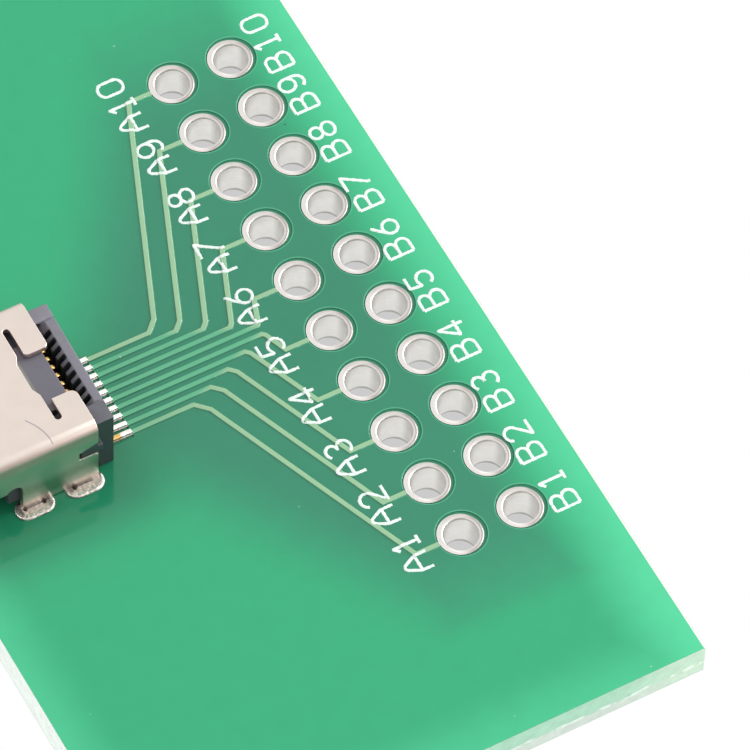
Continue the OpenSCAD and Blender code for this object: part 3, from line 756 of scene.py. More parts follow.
class Pieces:
    """Ways to make, finish and hand over a piece."""

    MERGE_MM = 2e-4
    FLAT_DEG = 0.6
    ROUND_OVER_DEG = 38
    SMOOTH_UNDER_DEG = 44

    @staticmethod
    def paint(obj: bpy.types.Object, finish: Finish) -> None:
        """Gives an object one finish."""
        obj.data.materials.clear()
        obj.data.materials.append(finish.material())

    @staticmethod
    def settle(obj: bpy.types.Object, slot: Slot) -> None:
        """Makes a finished piece ride on the part."""
        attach(obj, BODY)
        log.info("%s: %d faces", obj.name, len(obj.data.polygons))

    @staticmethod
    def linked(name: str, data: Any) -> bpy.types.Object:
        """Links a mesh, camera or light as a new object at the origin."""
        obj = bpy.data.objects.new(name, data)
        bpy.context.scene.collection.objects.link(obj)
        return obj

    @classmethod
    def closed(cls, name: str, mesh: bmesh.types.BMesh) -> bpy.types.Object:
        """Turns a finished BMesh, with its faces turned outwards, into a new object."""
        bmesh.ops.recalc_face_normals(mesh, faces=mesh.faces)
        data = bpy.data.meshes.new(name)
        mesh.to_mesh(data)
        mesh.free()
        return cls.linked(name, data)

    @staticmethod
    def applied(obj: bpy.types.Object) -> bpy.types.Object:
        """Turns an object's modifiers into plain mesh, and returns the object."""
        graph = bpy.context.evaluated_depsgraph_get()
        result = bpy.data.meshes.new_from_object(obj.evaluated_get(graph), depsgraph=graph)
        old = obj.data
        obj.modifiers.clear()
        obj.data = result
        bpy.data.meshes.remove(old)
        result.name = obj.name
        return obj

    @staticmethod
    def smooth(obj: bpy.types.Object, angle: float) -> None:
        """Shades a mesh smooth up to an angle in degrees."""
        obj.data.shade_smooth()
        obj.data.set_sharp_from_angle(angle=math.radians(angle))

    @classmethod
    def copied(cls, name: str, nodes: Sequence[str]) -> bpy.types.Object:
        """Copies CAD nodes as one plain piece with merged points and whole flat faces.

        Args:
            name: Name of the piece.
            nodes: CAD nodes that it stands for.

        Returns:
            The new piece, which replaces the nodes.
        """
        whole = bmesh.new()
        for node in nodes:
            part = bmesh.new()
            part.from_mesh(frame["nodes"][node].data)
            bmesh.ops.remove_doubles(part, verts=part.verts, dist=cls.MERGE_MM * MM)
            bmesh.ops.dissolve_limit(part, angle_limit=math.radians(cls.FLAT_DEG), verts=part.verts,
                                     edges=part.edges)
            merged = bpy.data.meshes.new("part_copy")
            part.to_mesh(merged)
            part.free()
            whole.from_mesh(merged)
            bpy.data.meshes.remove(merged)
        mesh = bpy.data.meshes.new(name)
        whole.to_mesh(mesh)
        whole.free()
        obj = cls.linked(name, mesh)
        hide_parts(*nodes)
        return obj

    @classmethod
    def rounded(cls, obj: bpy.types.Object, width: float, segments: int = 2) -> None:
        """Rounds a piece's edges and evens its normals, so that flat faces stay flat.

        Args:
            obj: The piece.
            width: Width of the edge round, in millimetres.
            segments: Steps of the round.
        """
        round_off = obj.modifiers.new("edge_round", "BEVEL")
        round_off.width = width * MM
        round_off.segments = segments
        round_off.limit_method = "ANGLE"
        round_off.angle_limit = math.radians(cls.ROUND_OVER_DEG)
        round_off.use_clamp_overlap = False
        cls.applied(obj)
        cls.smooth(obj, cls.SMOOTH_UNDER_DEG)
        obj.modifiers.new("even_normals", "WEIGHTED_NORMAL").keep_sharp = True
        cls.applied(obj)


class Repeats:
    """Geometry node trees: a shape repeated on a grid, and lines drawn on the board."""

    @staticmethod
    def _new(name: str, inputs: dict[str, str]) -> tuple[Any, Graph, dict[str, Value], dict[str, str]]:
        """Starts a geometry node tree.

        Args:
            name: Name of the tree.
            inputs: Socket type of each input after the geometry, by name.

        Returns:
            The tree, its graph, its inputs by name, and their identifiers by name.
        """
        tree = bpy.data.node_groups.new(name, "GeometryNodeTree")
        tree.interface.new_socket("Geometry", in_out="INPUT", socket_type="NodeSocketGeometry")
        keys = {key: tree.interface.new_socket(key, in_out="INPUT", socket_type=kind).identifier
                for key, kind in inputs.items()}
        tree.interface.new_socket("Geometry", in_out="OUTPUT", socket_type="NodeSocketGeometry")
        graph = Graph(tree)
        return tree, graph, graph.given(), keys

    @staticmethod
    def _close(graph: Graph, geometry: Value, material: Value) -> None:
        """Makes a tree's geometry real, paints it and sends it out."""
        real = graph.out("GeometryNodeRealizeInstances", {"Geometry": geometry})
        graph.node("NodeGroupOutput", {0: graph.out("GeometryNodeSetMaterial", {
            "Geometry": real, "Material": material})})

    @staticmethod
    def _run(obj: bpy.types.Object, tree: bpy.types.NodeTree, keys: dict[str, str], values: dict[str, Any],
             angle: float) -> bpy.types.Object:
        """Runs a tree on an object and keeps the result as plain smooth mesh.

        Args:
            obj: Object whose mesh goes in.
            tree: Tree to run.
            keys: Identifiers of the tree's inputs by name.
            values: Their values by name.
            angle: Angle of the smooth shading, in degrees.

        Returns:
            The same object, with the result as its mesh.
        """
        modifier = obj.modifiers.new(tree.name, "NODES")
        modifier.node_group = tree
        for key, value in values.items():
            modifier[keys[key]] = value
        obj.update_tag()
        Pieces.applied(obj)
        Pieces.smooth(obj, angle)
        return obj

    @classmethod
    def on_grid(cls, obj: bpy.types.Object, columns: int, rows: int, step: float, centre: Point,
                finish: Finish) -> bpy.types.Object:
        """Repeats an object's mesh on a grid in X and Y.

        Args:
            obj: Object with the shape, centred on the origin.
            columns: Count along X.
            rows: Count along Y.
            step: Pitch along X and Y, in millimetres.
            centre: Centre of the grid, in millimetres.
            finish: Finish of the result.

        Returns:
            The same object, holding the whole grid.
        """
        tree, graph, get, keys = cls._new("repeat_on_grid", {
            "Columns": "NodeSocketInt", "Rows": "NodeSocketInt", "Step": "NodeSocketFloat",
            "Centre": "NodeSocketVector", "Material": "NodeSocketMaterial"})
        points = graph.out("GeometryNodeMeshGrid", {
            "Size X": (get["Columns"] - 1.0) * get["Step"], "Size Y": (get["Rows"] - 1.0) * get["Step"],
            "Vertices X": get["Columns"], "Vertices Y": get["Rows"]}, "Mesh")
        moved = graph.out("GeometryNodeSetPosition", {"Geometry": points, "Offset": get["Centre"]})
        copies = graph.out("GeometryNodeInstanceOnPoints", {"Points": moved, "Instance": get["Geometry"]})
        cls._close(graph, copies, get["Material"])
        return cls._run(obj, tree, keys, {
            "Columns": columns, "Rows": rows, "Step": step * MM,
            "Centre": (centre[0] * MM, centre[1] * MM, 0.0), "Material": finish.material()}, 60)

    @classmethod
    def drawn_lines(cls, name: str, paths: Sequence[Sequence[Point]], face: Face, width: float, depth: float,
                    rough: float, finish: Finish) -> bpy.types.Object:
        """Draws flat lines along paths on a face of the board.

        Args:
            name: Name of the piece.
            paths: Open paths in X and Y, in millimetres.
            face: Face of the board that they lie on.
            width: Width of a line, in millimetres.
            depth: Height of a line over the face, in millimetres.
            rough: Unevenness of the line's edges, as a share of its width.
            finish: Finish of the lines.

        Returns:
            The new piece.
        """
        mesh = bpy.data.meshes.new(name)
        points: list[Place] = []
        edges: list[tuple[int, int]] = []
        for path in paths:
            first = len(points)
            points += [(x * MM, y * MM, 0.0) for x, y in path]
            edges += [(first + i, first + i + 1) for i in range(len(path) - 1)]
        mesh.from_pydata(points, edges, [])
        tree, graph, get, keys = cls._new(name + "_lines", {
            "Board": "NodeSocketObject", "Width": "NodeSocketFloat", "Depth": "NodeSocketFloat",
            "Unevenness": "NodeSocketFloat", "Towards Board": "NodeSocketFloat", "Seed": "NodeSocketFloat",
            "Material": "NodeSocketMaterial"})
        curve = graph.out("GeometryNodeMeshToCurve", {"Mesh": get["Geometry"]})
        fine = graph.out("GeometryNodeResampleCurve", {
            "Curve": curve, "Length": get["Width"] * 0.3}, mode="LENGTH")
        board = graph.out("GeometryNodeObjectInfo", {"Object": get["Board"]}, "Geometry",
                          transform_space="RELATIVE")
        here = graph.out("GeometryNodeInputPosition")
        away = graph.joined(0.0, 0.0, get["Towards Board"] * (-5 * MM))
        hit = graph.node("GeometryNodeRaycast", {
            "Target Geometry": board, "Ray Direction": graph.joined(0.0, 0.0, get["Towards Board"]),
            "Source Position": graph.out("ShaderNodeVectorMath", {0: here, 1: away}, operation="ADD"),
            "Ray Length": 20 * MM}).outputs
        laid = graph.out("GeometryNodeSetPosition", {
            "Geometry": fine, "Position": hit["Hit Position"], "Selection": hit["Is Hit"]})
        wander = graph.out("ShaderNodeTexNoise", {
            "Vector": here, "W": get["Seed"], "Scale": 14 / MM, "Detail": 1.0}, noise_dimensions="4D")
        sized = graph.out("GeometryNodeSetCurveRadius", {
            "Curve": laid, "Radius": (wander - 0.5) * get["Unevenness"] * 2.0 + 1.0})
        x, y, z = graph.split(here)
        kept = graph.node("GeometryNodeCaptureAttribute")
        kept.capture_items.new("FLOAT", "Level")
        graph.feed(kept.inputs["Geometry"], sized)
        graph.feed(kept.inputs["Level"], z)
        level = Value(graph, kept.outputs["Level"])
        half = get["Width"] * 0.5
        profile = graph.out("GeometryNodeCurvePrimitiveCircle", {"Resolution": 10, "Radius": half})
        tube = graph.out("GeometryNodeCurveToMesh", {
            "Curve": kept.outputs["Geometry"], "Profile Curve": profile, "Fill Caps": True,
            "Scale": graph.out("GeometryNodeInputRadius")})
        flat = graph.joined(x, y, (z - level) / half * get["Depth"] + level)
        pressed = graph.out("GeometryNodeSetPosition", {"Geometry": tube, "Position": flat})
        cls._close(graph, pressed, get["Material"])
        coat = "solder_mask_top" if face is Face.TOP else "solder_mask_bottom"
        return cls._run(Pieces.linked(name, mesh), tree, keys, {
            "Board": frame["nodes"][coat], "Width": width * MM, "Depth": depth * MM, "Unevenness": rough,
            "Towards Board": face.value, "Seed": 3.0, "Material": finish.material()}, 60)


@dataclass
class Header:
    """Two columns of plated holes: the domed rings and the bores."""

    centre: Point = (7.01, 0.0)
    columns: int = 2
    ring_r: float = 0.88
    drift: Point = (0.05, -0.028)
    base: float = 0.02
    steps: int = 72

    def profile(self) -> list[Point]:
        """Returns the closed section of one eyelet as radius and height."""
        ring, bore, top, base = self.ring_r, LAYOUT.bore_r, LAYOUT.ring_top, self.base
        lip = [(ring, top - 0.04), (ring - 0.004, top - 0.012), (ring - 0.025, top + 0.004),
               (ring - 0.075, top + 0.012), (bore + 0.06, top + 0.008), (bore + 0.02, top - 0.004),
               (bore + 0.004, top - 0.025), (bore, top - 0.06)]
        foot = [(bore, base + 0.12), (bore + 0.006, base + 0.05), (bore + 0.03, base + 0.012),
                (bore + 0.075, base - 0.008), (ring - 0.06, base - 0.012), (ring - 0.01, base - 0.004),
                (ring, base + 0.02)]
        return lip + foot + [(bore + 0.03, base + 0.03), (bore + 0.03, top - 0.04)]

    def eyelet(self) -> bpy.types.Object:
        """Returns one eyelet around the origin. Its bore takes all of the drill's drift, and its rim none."""
        section = self.profile()
        mesh = bmesh.new()
        rings = []
        for step in range(self.steps):
            turn = 2 * math.pi * step / self.steps
            ring = []
            for r, z in section:
                share = (self.ring_r - r) / (self.ring_r - LAYOUT.bore_r)
                ring.append(mesh.verts.new(((r * math.cos(turn) + share * self.drift[0]) * MM,
                                            (r * math.sin(turn) + share * self.drift[1]) * MM, z * MM)))
            rings.append(ring)
        count = len(section)
        for step, here in enumerate(rings):
            after = rings[(step + 1) % self.steps]
            for i in range(count):
                mesh.faces.new((here[i], here[(i + 1) % count], after[(i + 1) % count], after[i]))
        return Pieces.closed("header_eyelets", mesh)

    def build(self) -> None:
        """Builds all eyelets."""
        obj = Repeats.on_grid(self.eyelet(), self.columns, LAYOUT.pins, LAYOUT.pitch, self.centre,
                              Finishes.TIN)
        Pieces.settle(obj, Slot.TIN)


class Stroke:
    """Strokes of the printed characters, in a box of 1 by 1 with the baseline at 0."""

    @staticmethod
    def arc(centre: Point, radii: Point, start: float, end: float, steps: int = 10) -> list[Point]:
        """Returns points on part of an ellipse.

        Args:
            centre: Middle of the ellipse.
            radii: Half width and half height.
            start: First angle in degrees, from the right and upwards.
            end: Last angle in degrees.
            steps: Count of steps.

        Returns:
            The points in order.
        """
        turns = [math.radians(start + (end - start) * i / steps) for i in range(steps + 1)]
        return [(centre[0] + radii[0] * math.cos(a), centre[1] + radii[1] * math.sin(a)) for a in turns]

    @classmethod
    def of(cls, sign: str) -> list[list[Point]]:
        """Returns the strokes of one character."""
        arc = cls.arc
        table = {
            "A": [[(0, 0), (0.02, 0.5), *arc((0.5, 0.8), (0.22, 0.2), 150, 30, 6), (0.98, 0.5), (1, 0)],
                  [(0.02, 0.46), (0.98, 0.46)]],
            "B": [[(0, 0), (0, 1)], [(0, 1), *arc((0.55, 0.765), (0.38, 0.235), 90, -90), (0, 0.53)],
                  [*arc((0.58, 0.265), (0.42, 0.265), 90, -90), (0, 0)]],
            "0": [[*arc((0.5, 0.74), (0.46, 0.26), 0, 180), *arc((0.5, 0.26), (0.46, 0.26), 180, 360),
                   (0.96, 0.74)]],
            "1": [[(0.2, 0.8), (0.5, 1), (0.5, 0)], [(0.22, 0), (0.78, 0)]],
            "2": [[*arc((0.48, 0.72), (0.44, 0.28), 170, -35), (0.05, 0), (1, 0)]],
            "3": [[*arc((0.45, 0.76), (0.4, 0.24), 150, -75), (0.42, 0.52)],
                  [(0.42, 0.52), *arc((0.45, 0.27), (0.45, 0.27), 70, -150)]],
            "4": [[(0.74, 0), (0.74, 1), (0.02, 0.3), (1, 0.3)]],
            "5": [[(0.92, 1), (0.16, 1), (0.08, 0.52), *arc((0.48, 0.31), (0.46, 0.31), 125, -150)]],
            "6": [[(0.84, 1), (0.3, 0.62), *arc((0.5, 0.3), (0.45, 0.3), 150, 510, 18)]],
            "7": [[(0, 1), (1, 1), (0.14, 0.12), (0.14, 0)]],
            "8": [arc((0.5, 0.755), (0.38, 0.245), -90, 270, 18),
                  arc((0.5, 0.255), (0.46, 0.255), 90, 450, 18)],
            "9": [arc((0.5, 0.68), (0.44, 0.32), 0, 360, 18),
                  [(0.94, 0.68), *arc((0.48, 0.36), (0.46, 0.36), 0, -140)]],
        }
        return table[sign]


@dataclass
class PinLabels:
    """Printed pin numbers beside both columns of holes, reading along the columns."""

    height: float = 1.02
    width: float = 0.69
    stroke: float = 0.126
    ink_depth: float = 0.012
    unevenness: float = 0.5
    columns: tuple[tuple[str, float, float, float], ...] = (("A", 3.55, -0.62, 0.93), ("B", 9.83, -0.55, 1.0))
    nudge: dict[str, Point] = field(default_factory=lambda: {
        "A1": (0.18, 0.26), "A2": (0.07, 0.06), "A3": (-0.04, 0.0), "A4": (-0.1, 0.06), "A5": (-0.12, 0.05),
        "A6": (-0.12, 0.0), "A7": (-0.04, 0.02), "A8": (0.04, -0.04), "A9": (0.05, -0.04),
        "A10": (0.02, -0.32),
        "B1": (0.05, 0.1), "B2": (-0.05, -0.03), "B6": (-0.03, 0.09), "B7": (0.03, 0.02), "B8": (0.0, 0.07),
        "B10": (0.05, -0.4)})

    def paths(self, text: str, x: float, y: float, step: float) -> list[list[Point]]:
        """Returns the strokes of one label.

        Args:
            text: Column letter and pin number.
            x: Place of the label's middle line across the board.
            y: Place of its first character along the board.
            step: Pitch of its characters.

        Returns:
            Paths in X and Y, in millimetres.
        """
        shift = self.nudge.get(text, (0.0, 0.0))
        result = []
        for i, sign in enumerate(text):
            middle = y + shift[1] + i * step
            for path in Stroke.of(sign):
                result.append([(x + shift[0] - (v - 0.5) * self.height, middle + (u - 0.5) * self.width)
                               for u, v in path])
        return result

    def build(self) -> None:
        """Builds all labels as one printed piece."""
        paths: list[list[Point]] = []
        for k in range(1, LAYOUT.pins + 1):
            for letter, x, first, step in self.columns:
                paths += self.paths(f"{letter}{k}", x, LAYOUT.pin_y(k) + first, step)
        obj = Repeats.drawn_lines("pin_labels", paths, Face.TOP, self.stroke, self.ink_depth, self.unevenness,
                                  Finishes.INK)
        Pieces.settle(obj, Slot.SOLDER_MASK)


@dataclass
class HiddenTraces:
    """Traces under the coat of the underside, which show as paler lines."""

    width: float = 0.18
    depth: float = 0.0006
    via_x: float = -6.9
    via_step: float = 0.5
    ground: Point = (-5.54, 3.425)
    ring_r: float = 0.89
    opening_gap: float = 0.08
    fan_near: float = 2.34
    fan_step: float = 0.935
    fan_chamfer: float = 0.105
    entry_run: float = 1.87
    last_run: float = 1.26

    def path(self, k: int) -> list[Point]:
        """Returns the route of one trace from its via to its ring."""
        grounded = k == LAYOUT.pins
        rank = 5 - k if k <= 5 else k - 6
        pin_y = LAYOUT.pin_y(k)
        gap_y = pin_y - LAYOUT.pitch / 2
        start = self.ground if grounded else (self.via_x - self.via_step * (k % 2),
                                              LAYOUT.contact_y + (k - LAYOUT.pins / 2) * LAYOUT.contact_pitch)
        bend = LAYOUT.column_a - self.fan_near - self.fan_step * rank
        cut = max(self.fan_chamfer * abs(k - 5.6), 0.12)
        side = 1 if gap_y > start[1] else -1
        last = (LAYOUT.column_b - self.last_run, gap_y)
        run = math.hypot(LAYOUT.column_b - last[0], pin_y - last[1])
        keep = 1 - (self.ring_r + self.opening_gap) / run
        end = (last[0] + (LAYOUT.column_b - last[0]) * keep, last[1] + (pin_y - last[1]) * keep)
        return [(start[0] + (0.95 if grounded else 0.3), start[1]), (bend, start[1]),
                (bend + cut, start[1] + side * cut), (LAYOUT.column_a - self.entry_run, gap_y), last, end]

    def build(self) -> None:
        """Builds all lines as one piece."""
        paths = [self.path(k) for k in range(1, LAYOUT.pins + 1)]
        obj = Repeats.drawn_lines("covered_traces", paths, Face.UNDERSIDE, self.width, self.depth, 0.0,
                                  Finishes.TRACE)
        Pieces.settle(obj, Slot.SOLDER_MASK)


@dataclass
class Board:
    """Laminate, coats and conductors; the top coat gets soft ridges over the traces."""

    coat_round: float = 0.022
    slots: tuple[Point, ...] = ((-7.62, 3.425), (-5.54, 3.425), (-7.62, -3.045), (-5.54, -3.045))
    slot_spine: float = 0.32
    opening_r: float = 0.55
    opening_slack: float = 0.03
    closed_r: float = 0.468
    feet_end: float = -2.83
    feet_half: float = 2.15
    feet_slack: float = 0.08
    feet_pull: float = 0.07

    def close_up(self, obj: bpy.types.Object) -> None:
        """Draws the coat up to the pads of the legs and to the toes of the tails."""
        shift_x, shift_y = LAYOUT.coat_shift
        for vert in obj.data.vertices:
            if abs(vert.co.x / MM - self.feet_end) < self.feet_slack and abs(vert.co.y / MM) < self.feet_half:
                vert.co.x -= self.feet_pull * MM
            for x, y in self.slots:
                from_x, from_y = vert.co.x / MM - x - shift_x, vert.co.y / MM - y - shift_y
                nearest = min(max(from_x, -self.slot_spine), self.slot_spine)
                apart = math.hypot(from_x - nearest, from_y)
                if abs(apart - self.opening_r) > self.opening_slack:
                    continue
                vert.co.x = (x + nearest + (from_x - nearest) / apart * self.closed_r) * MM
                vert.co.y = (y + from_y / apart * self.closed_r) * MM

    def build(self) -> None:
        """Dresses the board's nodes."""
        nodes = frame["nodes"]
        Pieces.paint(nodes["board_laminate"], Finishes.LAMINATE)
        Pieces.paint(nodes["solder_mask_bottom"], Finishes.MASK)
        coat = Pieces.copied("top_coat", ["solder_mask_top"])
        self.close_up(coat)
        Pieces.rounded(coat, self.coat_round)
        Pieces.paint(coat, Finishes.MASK)
        Pieces.settle(coat, Slot.SOLDER_MASK)
        nets = [f"net_{row}{k}" for row in "ab" for k in range(1, LAYOUT.pins + 1)]
        for name in [*nets, "leg_slot_platings"]:
            Pieces.paint(nodes[name], Finishes.TIN)


@dataclass
class Receptacle:
    """Folded shell, mouldings, contacts and solder, with rounded edges."""

    pins_b: int = 9
    half_w: float = 3.16
    sheet: float = 0.25
    fold_r: float = 0.4
    fold_steps: int = 10
    shell_round: float = 0.035
    moulding_round: float = 0.03
    comb_round: float = 0.045
    contact_round: float = 0.02
    solder_round: float = 0.012
    corner: Point = (-8.69, 3.05)
    corner_reach: float = 0.025
    corner_low: float = 0.11
    corner_high: float = 0.045

    def _on_fold(self, point: Vector, side: int) -> Point:
        """Returns a point's place outwards and upwards from the axis of one fold, in millimetres."""
        outwards = (point.y / MM - LAYOUT.middle_y) * side - (self.half_w - self.fold_r)
        return outwards, point.z / MM - (LAYOUT.shell_top - self.fold_r)

    def _fold_faces(self, mesh: bmesh.types.BMesh, side: int) -> list[Any]:
        """Returns the faces that lie wholly on one fold, with their edges and points."""
        slack = 1e-4
        faces = [f for f in mesh.faces if all(min(self._on_fold(v.co, side)) > -slack for v in f.verts)]
        return [*faces, *{e for f in faces for e in f.edges}, *{v for f in faces for v in f.verts}]

    def true_folds(self, mesh: bmesh.types.BMesh) -> None:
        """Cuts the shell's folds into fine steps and moves their points onto the true arcs."""
        for side in (-1, 1):
            axis = Vector((0.0, LAYOUT.middle_y + side * (self.half_w - self.fold_r),
                           LAYOUT.shell_top - self.fold_r)) * MM
            for step in range(1, self.fold_steps):
                turn = math.pi / 2 * step / self.fold_steps
                bmesh.ops.bisect_plane(mesh, geom=self._fold_faces(mesh, side), dist=1e-5 * MM, plane_co=axis,
                                       plane_no=(0.0, -side * math.sin(turn), math.cos(turn)))
            for vert in mesh.verts:
                outwards, upwards = self._on_fold(vert.co, side)
                if min(outwards, upwards) < 1e-3:
                    continue
                radius = math.hypot(outwards, upwards)
                true = self.fold_r if radius > self.fold_r - self.sheet / 2 else self.fold_r - self.sheet
                vert.co.y = axis.y + side * outwards * true / radius * MM
                vert.co.z = axis.z + upwards * true / radius * MM

    def trim_corners(self, mesh: bmesh.types.BMesh) -> None:
        """Draws the thin corner beside each arch's mouth end into one point, so that it rounds cleanly."""
        corner_x, corner_z = self.corner
        corners: dict[float, list[Any]] = {}
        for vert in mesh.verts:
            x, y, z = vert.co / MM
            if abs(x - corner_x) < self.corner_reach and -self.corner_low < z - corner_z < self.corner_high:
                corners.setdefault(round(y, 2), []).append(vert)
        for y, verts in corners.items():
            bmesh.ops.pointmerge(mesh, verts=verts, merge_co=Vector((corner_x, y, corner_z)) * MM)

    def build(self) -> None:
        """Builds the softened copies of all receptacle nodes."""
        contacts = [f"contact_a{k}" for k in range(1, LAYOUT.pins + 1)]
        contacts += [f"contact_b{k}" for k in range(1, self.pins_b + 1)]
        joints = ["tail_solder_a", "tail_solder_b"]
        for name, nodes, width, segments, finish, slot in (
                ("shell_sheet", ["connector_shell"], self.shell_round, 3, Finishes.NICKEL, Slot.NICKEL),
                ("insulator_moulding", ["insulator"], self.moulding_round, 2, Finishes.PLASTIC, Slot.PLASTIC),
                ("comb_moulding", ["tail_comb"], self.comb_round, 3, Finishes.PLASTIC, Slot.PLASTIC),
                ("contact_rows", contacts, self.contact_round, 2, Finishes.CONTACT, Slot.GOLD),
                ("tail_joints", joints, self.solder_round, 2, Finishes.SOLDER, Slot.SOLDER)):
            obj = Pieces.copied(name, nodes)
            if slot is Slot.NICKEL:
                mesh = bmesh.new()
                mesh.from_mesh(obj.data)
                self.true_folds(mesh)
                self.trim_corners(mesh)
                mesh.to_mesh(obj.data)
                mesh.free()
            Pieces.rounded(obj, width, segments)
            Pieces.paint(obj, finish)
            Pieces.settle(obj, slot)


@dataclass
class LegJoints:
    """Solder around the shell's legs: a bulging oval ring on each slot, with a crevice along the leg."""

    places: tuple[Place, ...] = ((-7.62, 0.8, 1.0), (-5.54, 1.0, 0.0))
    slot_y: float = 3.235
    spine: float = 0.32
    steps: int = 14
    crevice_r: float = 0.014
    open_r: float = 0.15
    lean: float = 0.045
    shallow: float = 0.035
    rim: tuple[Point, ...] = ((0.33, 1.25), (0.33, 1.59), (0.45, 1.6), (0.459, 1.63), (0.45, 1.652),
                              (0.42, 1.669), (0.37, 1.676))
    fall: tuple[Point, ...] = ((1.0, 1.674), (0.62, 1.669), (0.34, 1.658), (0.16, 1.64), (0.05, 1.61),
                               (0.0, 1.55))
    fall_from: float = 0.31

    def outline(self) -> list[tuple[float, Point]]:
        """Returns each step around the slot, as its place on the spine and a unit vector."""
        result = []
        for end in (1, -1):
            for i in range(self.steps + 1):
                turn = math.radians(-90 + 180 * i / self.steps)
                result.append((end * self.spine, (end * math.cos(turn), end * math.sin(turn))))
            for i in range(1, self.steps):
                result.append((end * self.spine * (1 - 2 * i / self.steps), (0.0, float(end))))
        return result

    @staticmethod
    def opening(along: float, ends: Point) -> float:
        """Returns the openness of the crevice in one direction, from 0 along the leg to 1 at an open end."""
        return min(max((abs(along) - 0.1) / 0.6, 0.0), 1.0) * (ends[1] if along > 0 else ends[0])

    def ring(self, mesh: bmesh.types.BMesh, centre: Point, ends: Point) -> None:
        """Adds one joint to a mesh.

        Args:
            mesh: Mesh that takes the joint.
            centre: Middle of the slot, in millimetres.
            ends: How far the slot's two ends along X are open, as shares.
        """
        rows = []
        inwards = self.lean if centre[1] < LAYOUT.middle_y else -self.lean
        for middle, way in self.outline():
            share = self.opening(way[0], ends)
            hole = self.crevice_r + (self.open_r - self.crevice_r) * share
            section = [(r, z, 0.0) for r, z in self.rim]
            section += [(hole + (self.fall_from - hole) * f, z + self.shallow * (1 - share) * (1 - f) ** 8,
                         inwards * (1 - f)) for f, z in self.fall]
            rows.append([mesh.verts.new(((centre[0] + middle + r * way[0]) * MM,
                                         (centre[1] + r * way[1] + aside) * MM, z * MM))
                         for r, z, aside in section])
        for i, here in enumerate(rows):
            after = rows[(i + 1) % len(rows)]
            for k in range(len(here) - 1):
                mesh.faces.new((here[k], after[k], after[k + 1], here[k + 1]))
        mesh.faces.new([row[-1] for row in rows])
        mesh.faces.new([row[0] for row in reversed(rows)])

    def build(self) -> None:
        """Builds all four joints as one piece, over the plain fill of the slots."""
        Pieces.paint(frame["nodes"]["leg_solder"], Finishes.SOLDER)
        mesh = bmesh.new()
        for x, left, right in self.places:
            for side in (-1, 1):
                self.ring(mesh, (x, LAYOUT.middle_y + side * self.slot_y), (left, right))
        obj = Pieces.closed("leg_joint_rings", mesh)
        Pieces.smooth(obj, 50)
        Pieces.paint(obj, Finishes.SOLDER)
        Pieces.settle(obj, Slot.SOLDER)


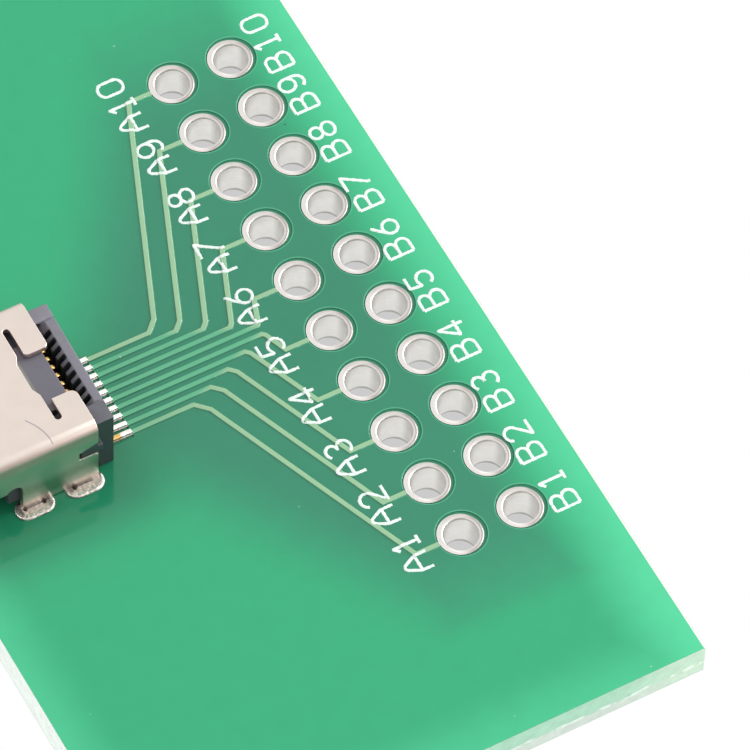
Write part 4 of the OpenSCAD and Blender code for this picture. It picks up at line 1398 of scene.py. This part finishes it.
@dataclass
class Studio:
    """Camera, soft light and a plain white floor."""

    eye: Place = (-77.295, -142.954, 252.911)
    right: Place = (0.87747, -0.47889, 0.02673)
    up: Place = (0.38984, 0.74455, 0.54192)
    forward: Place = (0.27942, 0.46510, -0.84001)
    lens: float = 383.73
    sensor: float = 36.0
    floor_half: float = 900.0
    floor_z: float = -0.05
    shade_half: Point = (11.2, 19.7)
    shade: Point = (-0.4, -0.12)
    sky: float = 0.62
    dark_side: float = 0.62
    lamps: tuple[tuple[str, Place, float, float], ...] = (
        ("key_right", (290.0, 0.0, 178.0), 200.0, 0.92), ("fill_left", (-300.0, 0.0, 30.0), 120.0, 0.38),
        ("fill_front", (230.0, -240.0, 30.0), 120.0, 0.36))

    def camera(self) -> None:
        """Makes the camera of the photograph's view."""
        data = bpy.data.cameras.new("camera")
        data.lens = self.lens
        data.sensor_width = self.sensor
        data.clip_start = 0.01
        data.clip_end = 10.0
        obj = Pieces.linked("camera", data)
        turn = Matrix((self.right, self.up, [-v for v in self.forward])).transposed().to_4x4()
        turn.translation = Vector(self.eye) * MM
        obj.matrix_world = turn
        bpy.context.scene.camera = obj

    @staticmethod
    def _seen(graph: Graph) -> tuple[Value, Value]:
        """Returns 1 for rays that show the background, and 1 for those among them that gloss throws back."""
        path = graph.node("ShaderNodeLightPath").outputs
        gloss = Value(graph, path["Is Glossy Ray"])
        return gloss | path["Is Transmission Ray"] | path["Is Camera Ray"], gloss

    def floor(self) -> None:
        """Makes the floor: white around the board, and with painted shade below it."""
        half, z = self.floor_half * MM, self.floor_z * MM
        mesh = bpy.data.meshes.new("floor")
        corners = [(-half, -half, z), (half, -half, z), (half, half, z), (-half, half, z)]
        mesh.from_pydata(corners, [], [(0, 1, 2, 3)])
        made = bpy.data.materials.new("white_floor")
        graph = Graph.fresh(made)
        x, y, _ = graph.split(graph.place())
        below = (abs(x) < self.shade_half[0]) * (abs(y) < self.shade_half[1])
        seen, gloss = self._seen(graph)
        # painted shade on the floor below the board, seen through the holes and in reflections
        level = below * gloss.span(0.0, 1.0, *self.shade) + 1.0
        paper = graph.out("ShaderNodeBsdfDiffuse", {"Color": (0.9, 0.9, 0.9, 1.0)})
        white = graph.out("ShaderNodeEmission", {"Color": WHITE, "Strength": level})
        graph.node("ShaderNodeOutputMaterial", {
            "Surface": graph.out("ShaderNodeMixShader", {0: seen, 1: paper, 2: white})})
        mesh.materials.append(made)
        obj = Pieces.linked("floor", mesh)

    def sky_light(self) -> None:
        """Makes the even white surround."""
        world = bpy.data.worlds.new("white_room")
        bpy.context.scene.world = world
        graph = Graph.fresh(world)
        seen, gloss = self._seen(graph)
        x, y, z = graph.split(graph.out("ShaderNodeTexCoord", key="Generated"))
        ahead = x * self.forward[0] + y * self.forward[1]
        behind = ahead.ramp(-0.05, -0.4) * z.ramp(0.8, 0.25)
        strength = seen * (1.0 - self.sky) + self.sky + behind * gloss * -self.dark_side
        graph.node("ShaderNodeOutputWorld", {
            "Surface": graph.out("ShaderNodeBackground", {"Color": WHITE, "Strength": strength})})

    @staticmethod
    def lamp(name: str, place: Place, size: float, power: float) -> None:
        """Makes one square soft lamp that faces the board.

        Args:
            name: Name of the lamp.
            place: Its place in millimetres.
            size: Side of its square in millimetres.
            power: Power in watts.
        """
        data = bpy.data.lights.new(name, "AREA")
        data.shape = "SQUARE"
        data.size = size * MM
        data.energy = power
        obj = Pieces.linked(name, data)
        obj.location = Vector(place) * MM
        obj.rotation_euler = (-Vector(place)).to_track_quat("-Z", "Y").to_euler()

    def build(self) -> None:
        """Sets up the whole studio."""
        self.camera()
        self.floor()
        self.sky_light()
        for lamp in self.lamps:
            self.lamp(*lamp)
        bpy.context.scene.view_settings.view_transform = "Standard"


def main() -> None:
    """Builds the studio and all pieces."""
    logging.basicConfig(level=logging.INFO, format="%(name)s: %(message)s")
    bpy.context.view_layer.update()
    for assembly in (Studio(), Header(), PinLabels(), HiddenTraces(), Board(), Receptacle(), LegJoints()):
        assembly.build()


if __name__ == "__main__":
    main()
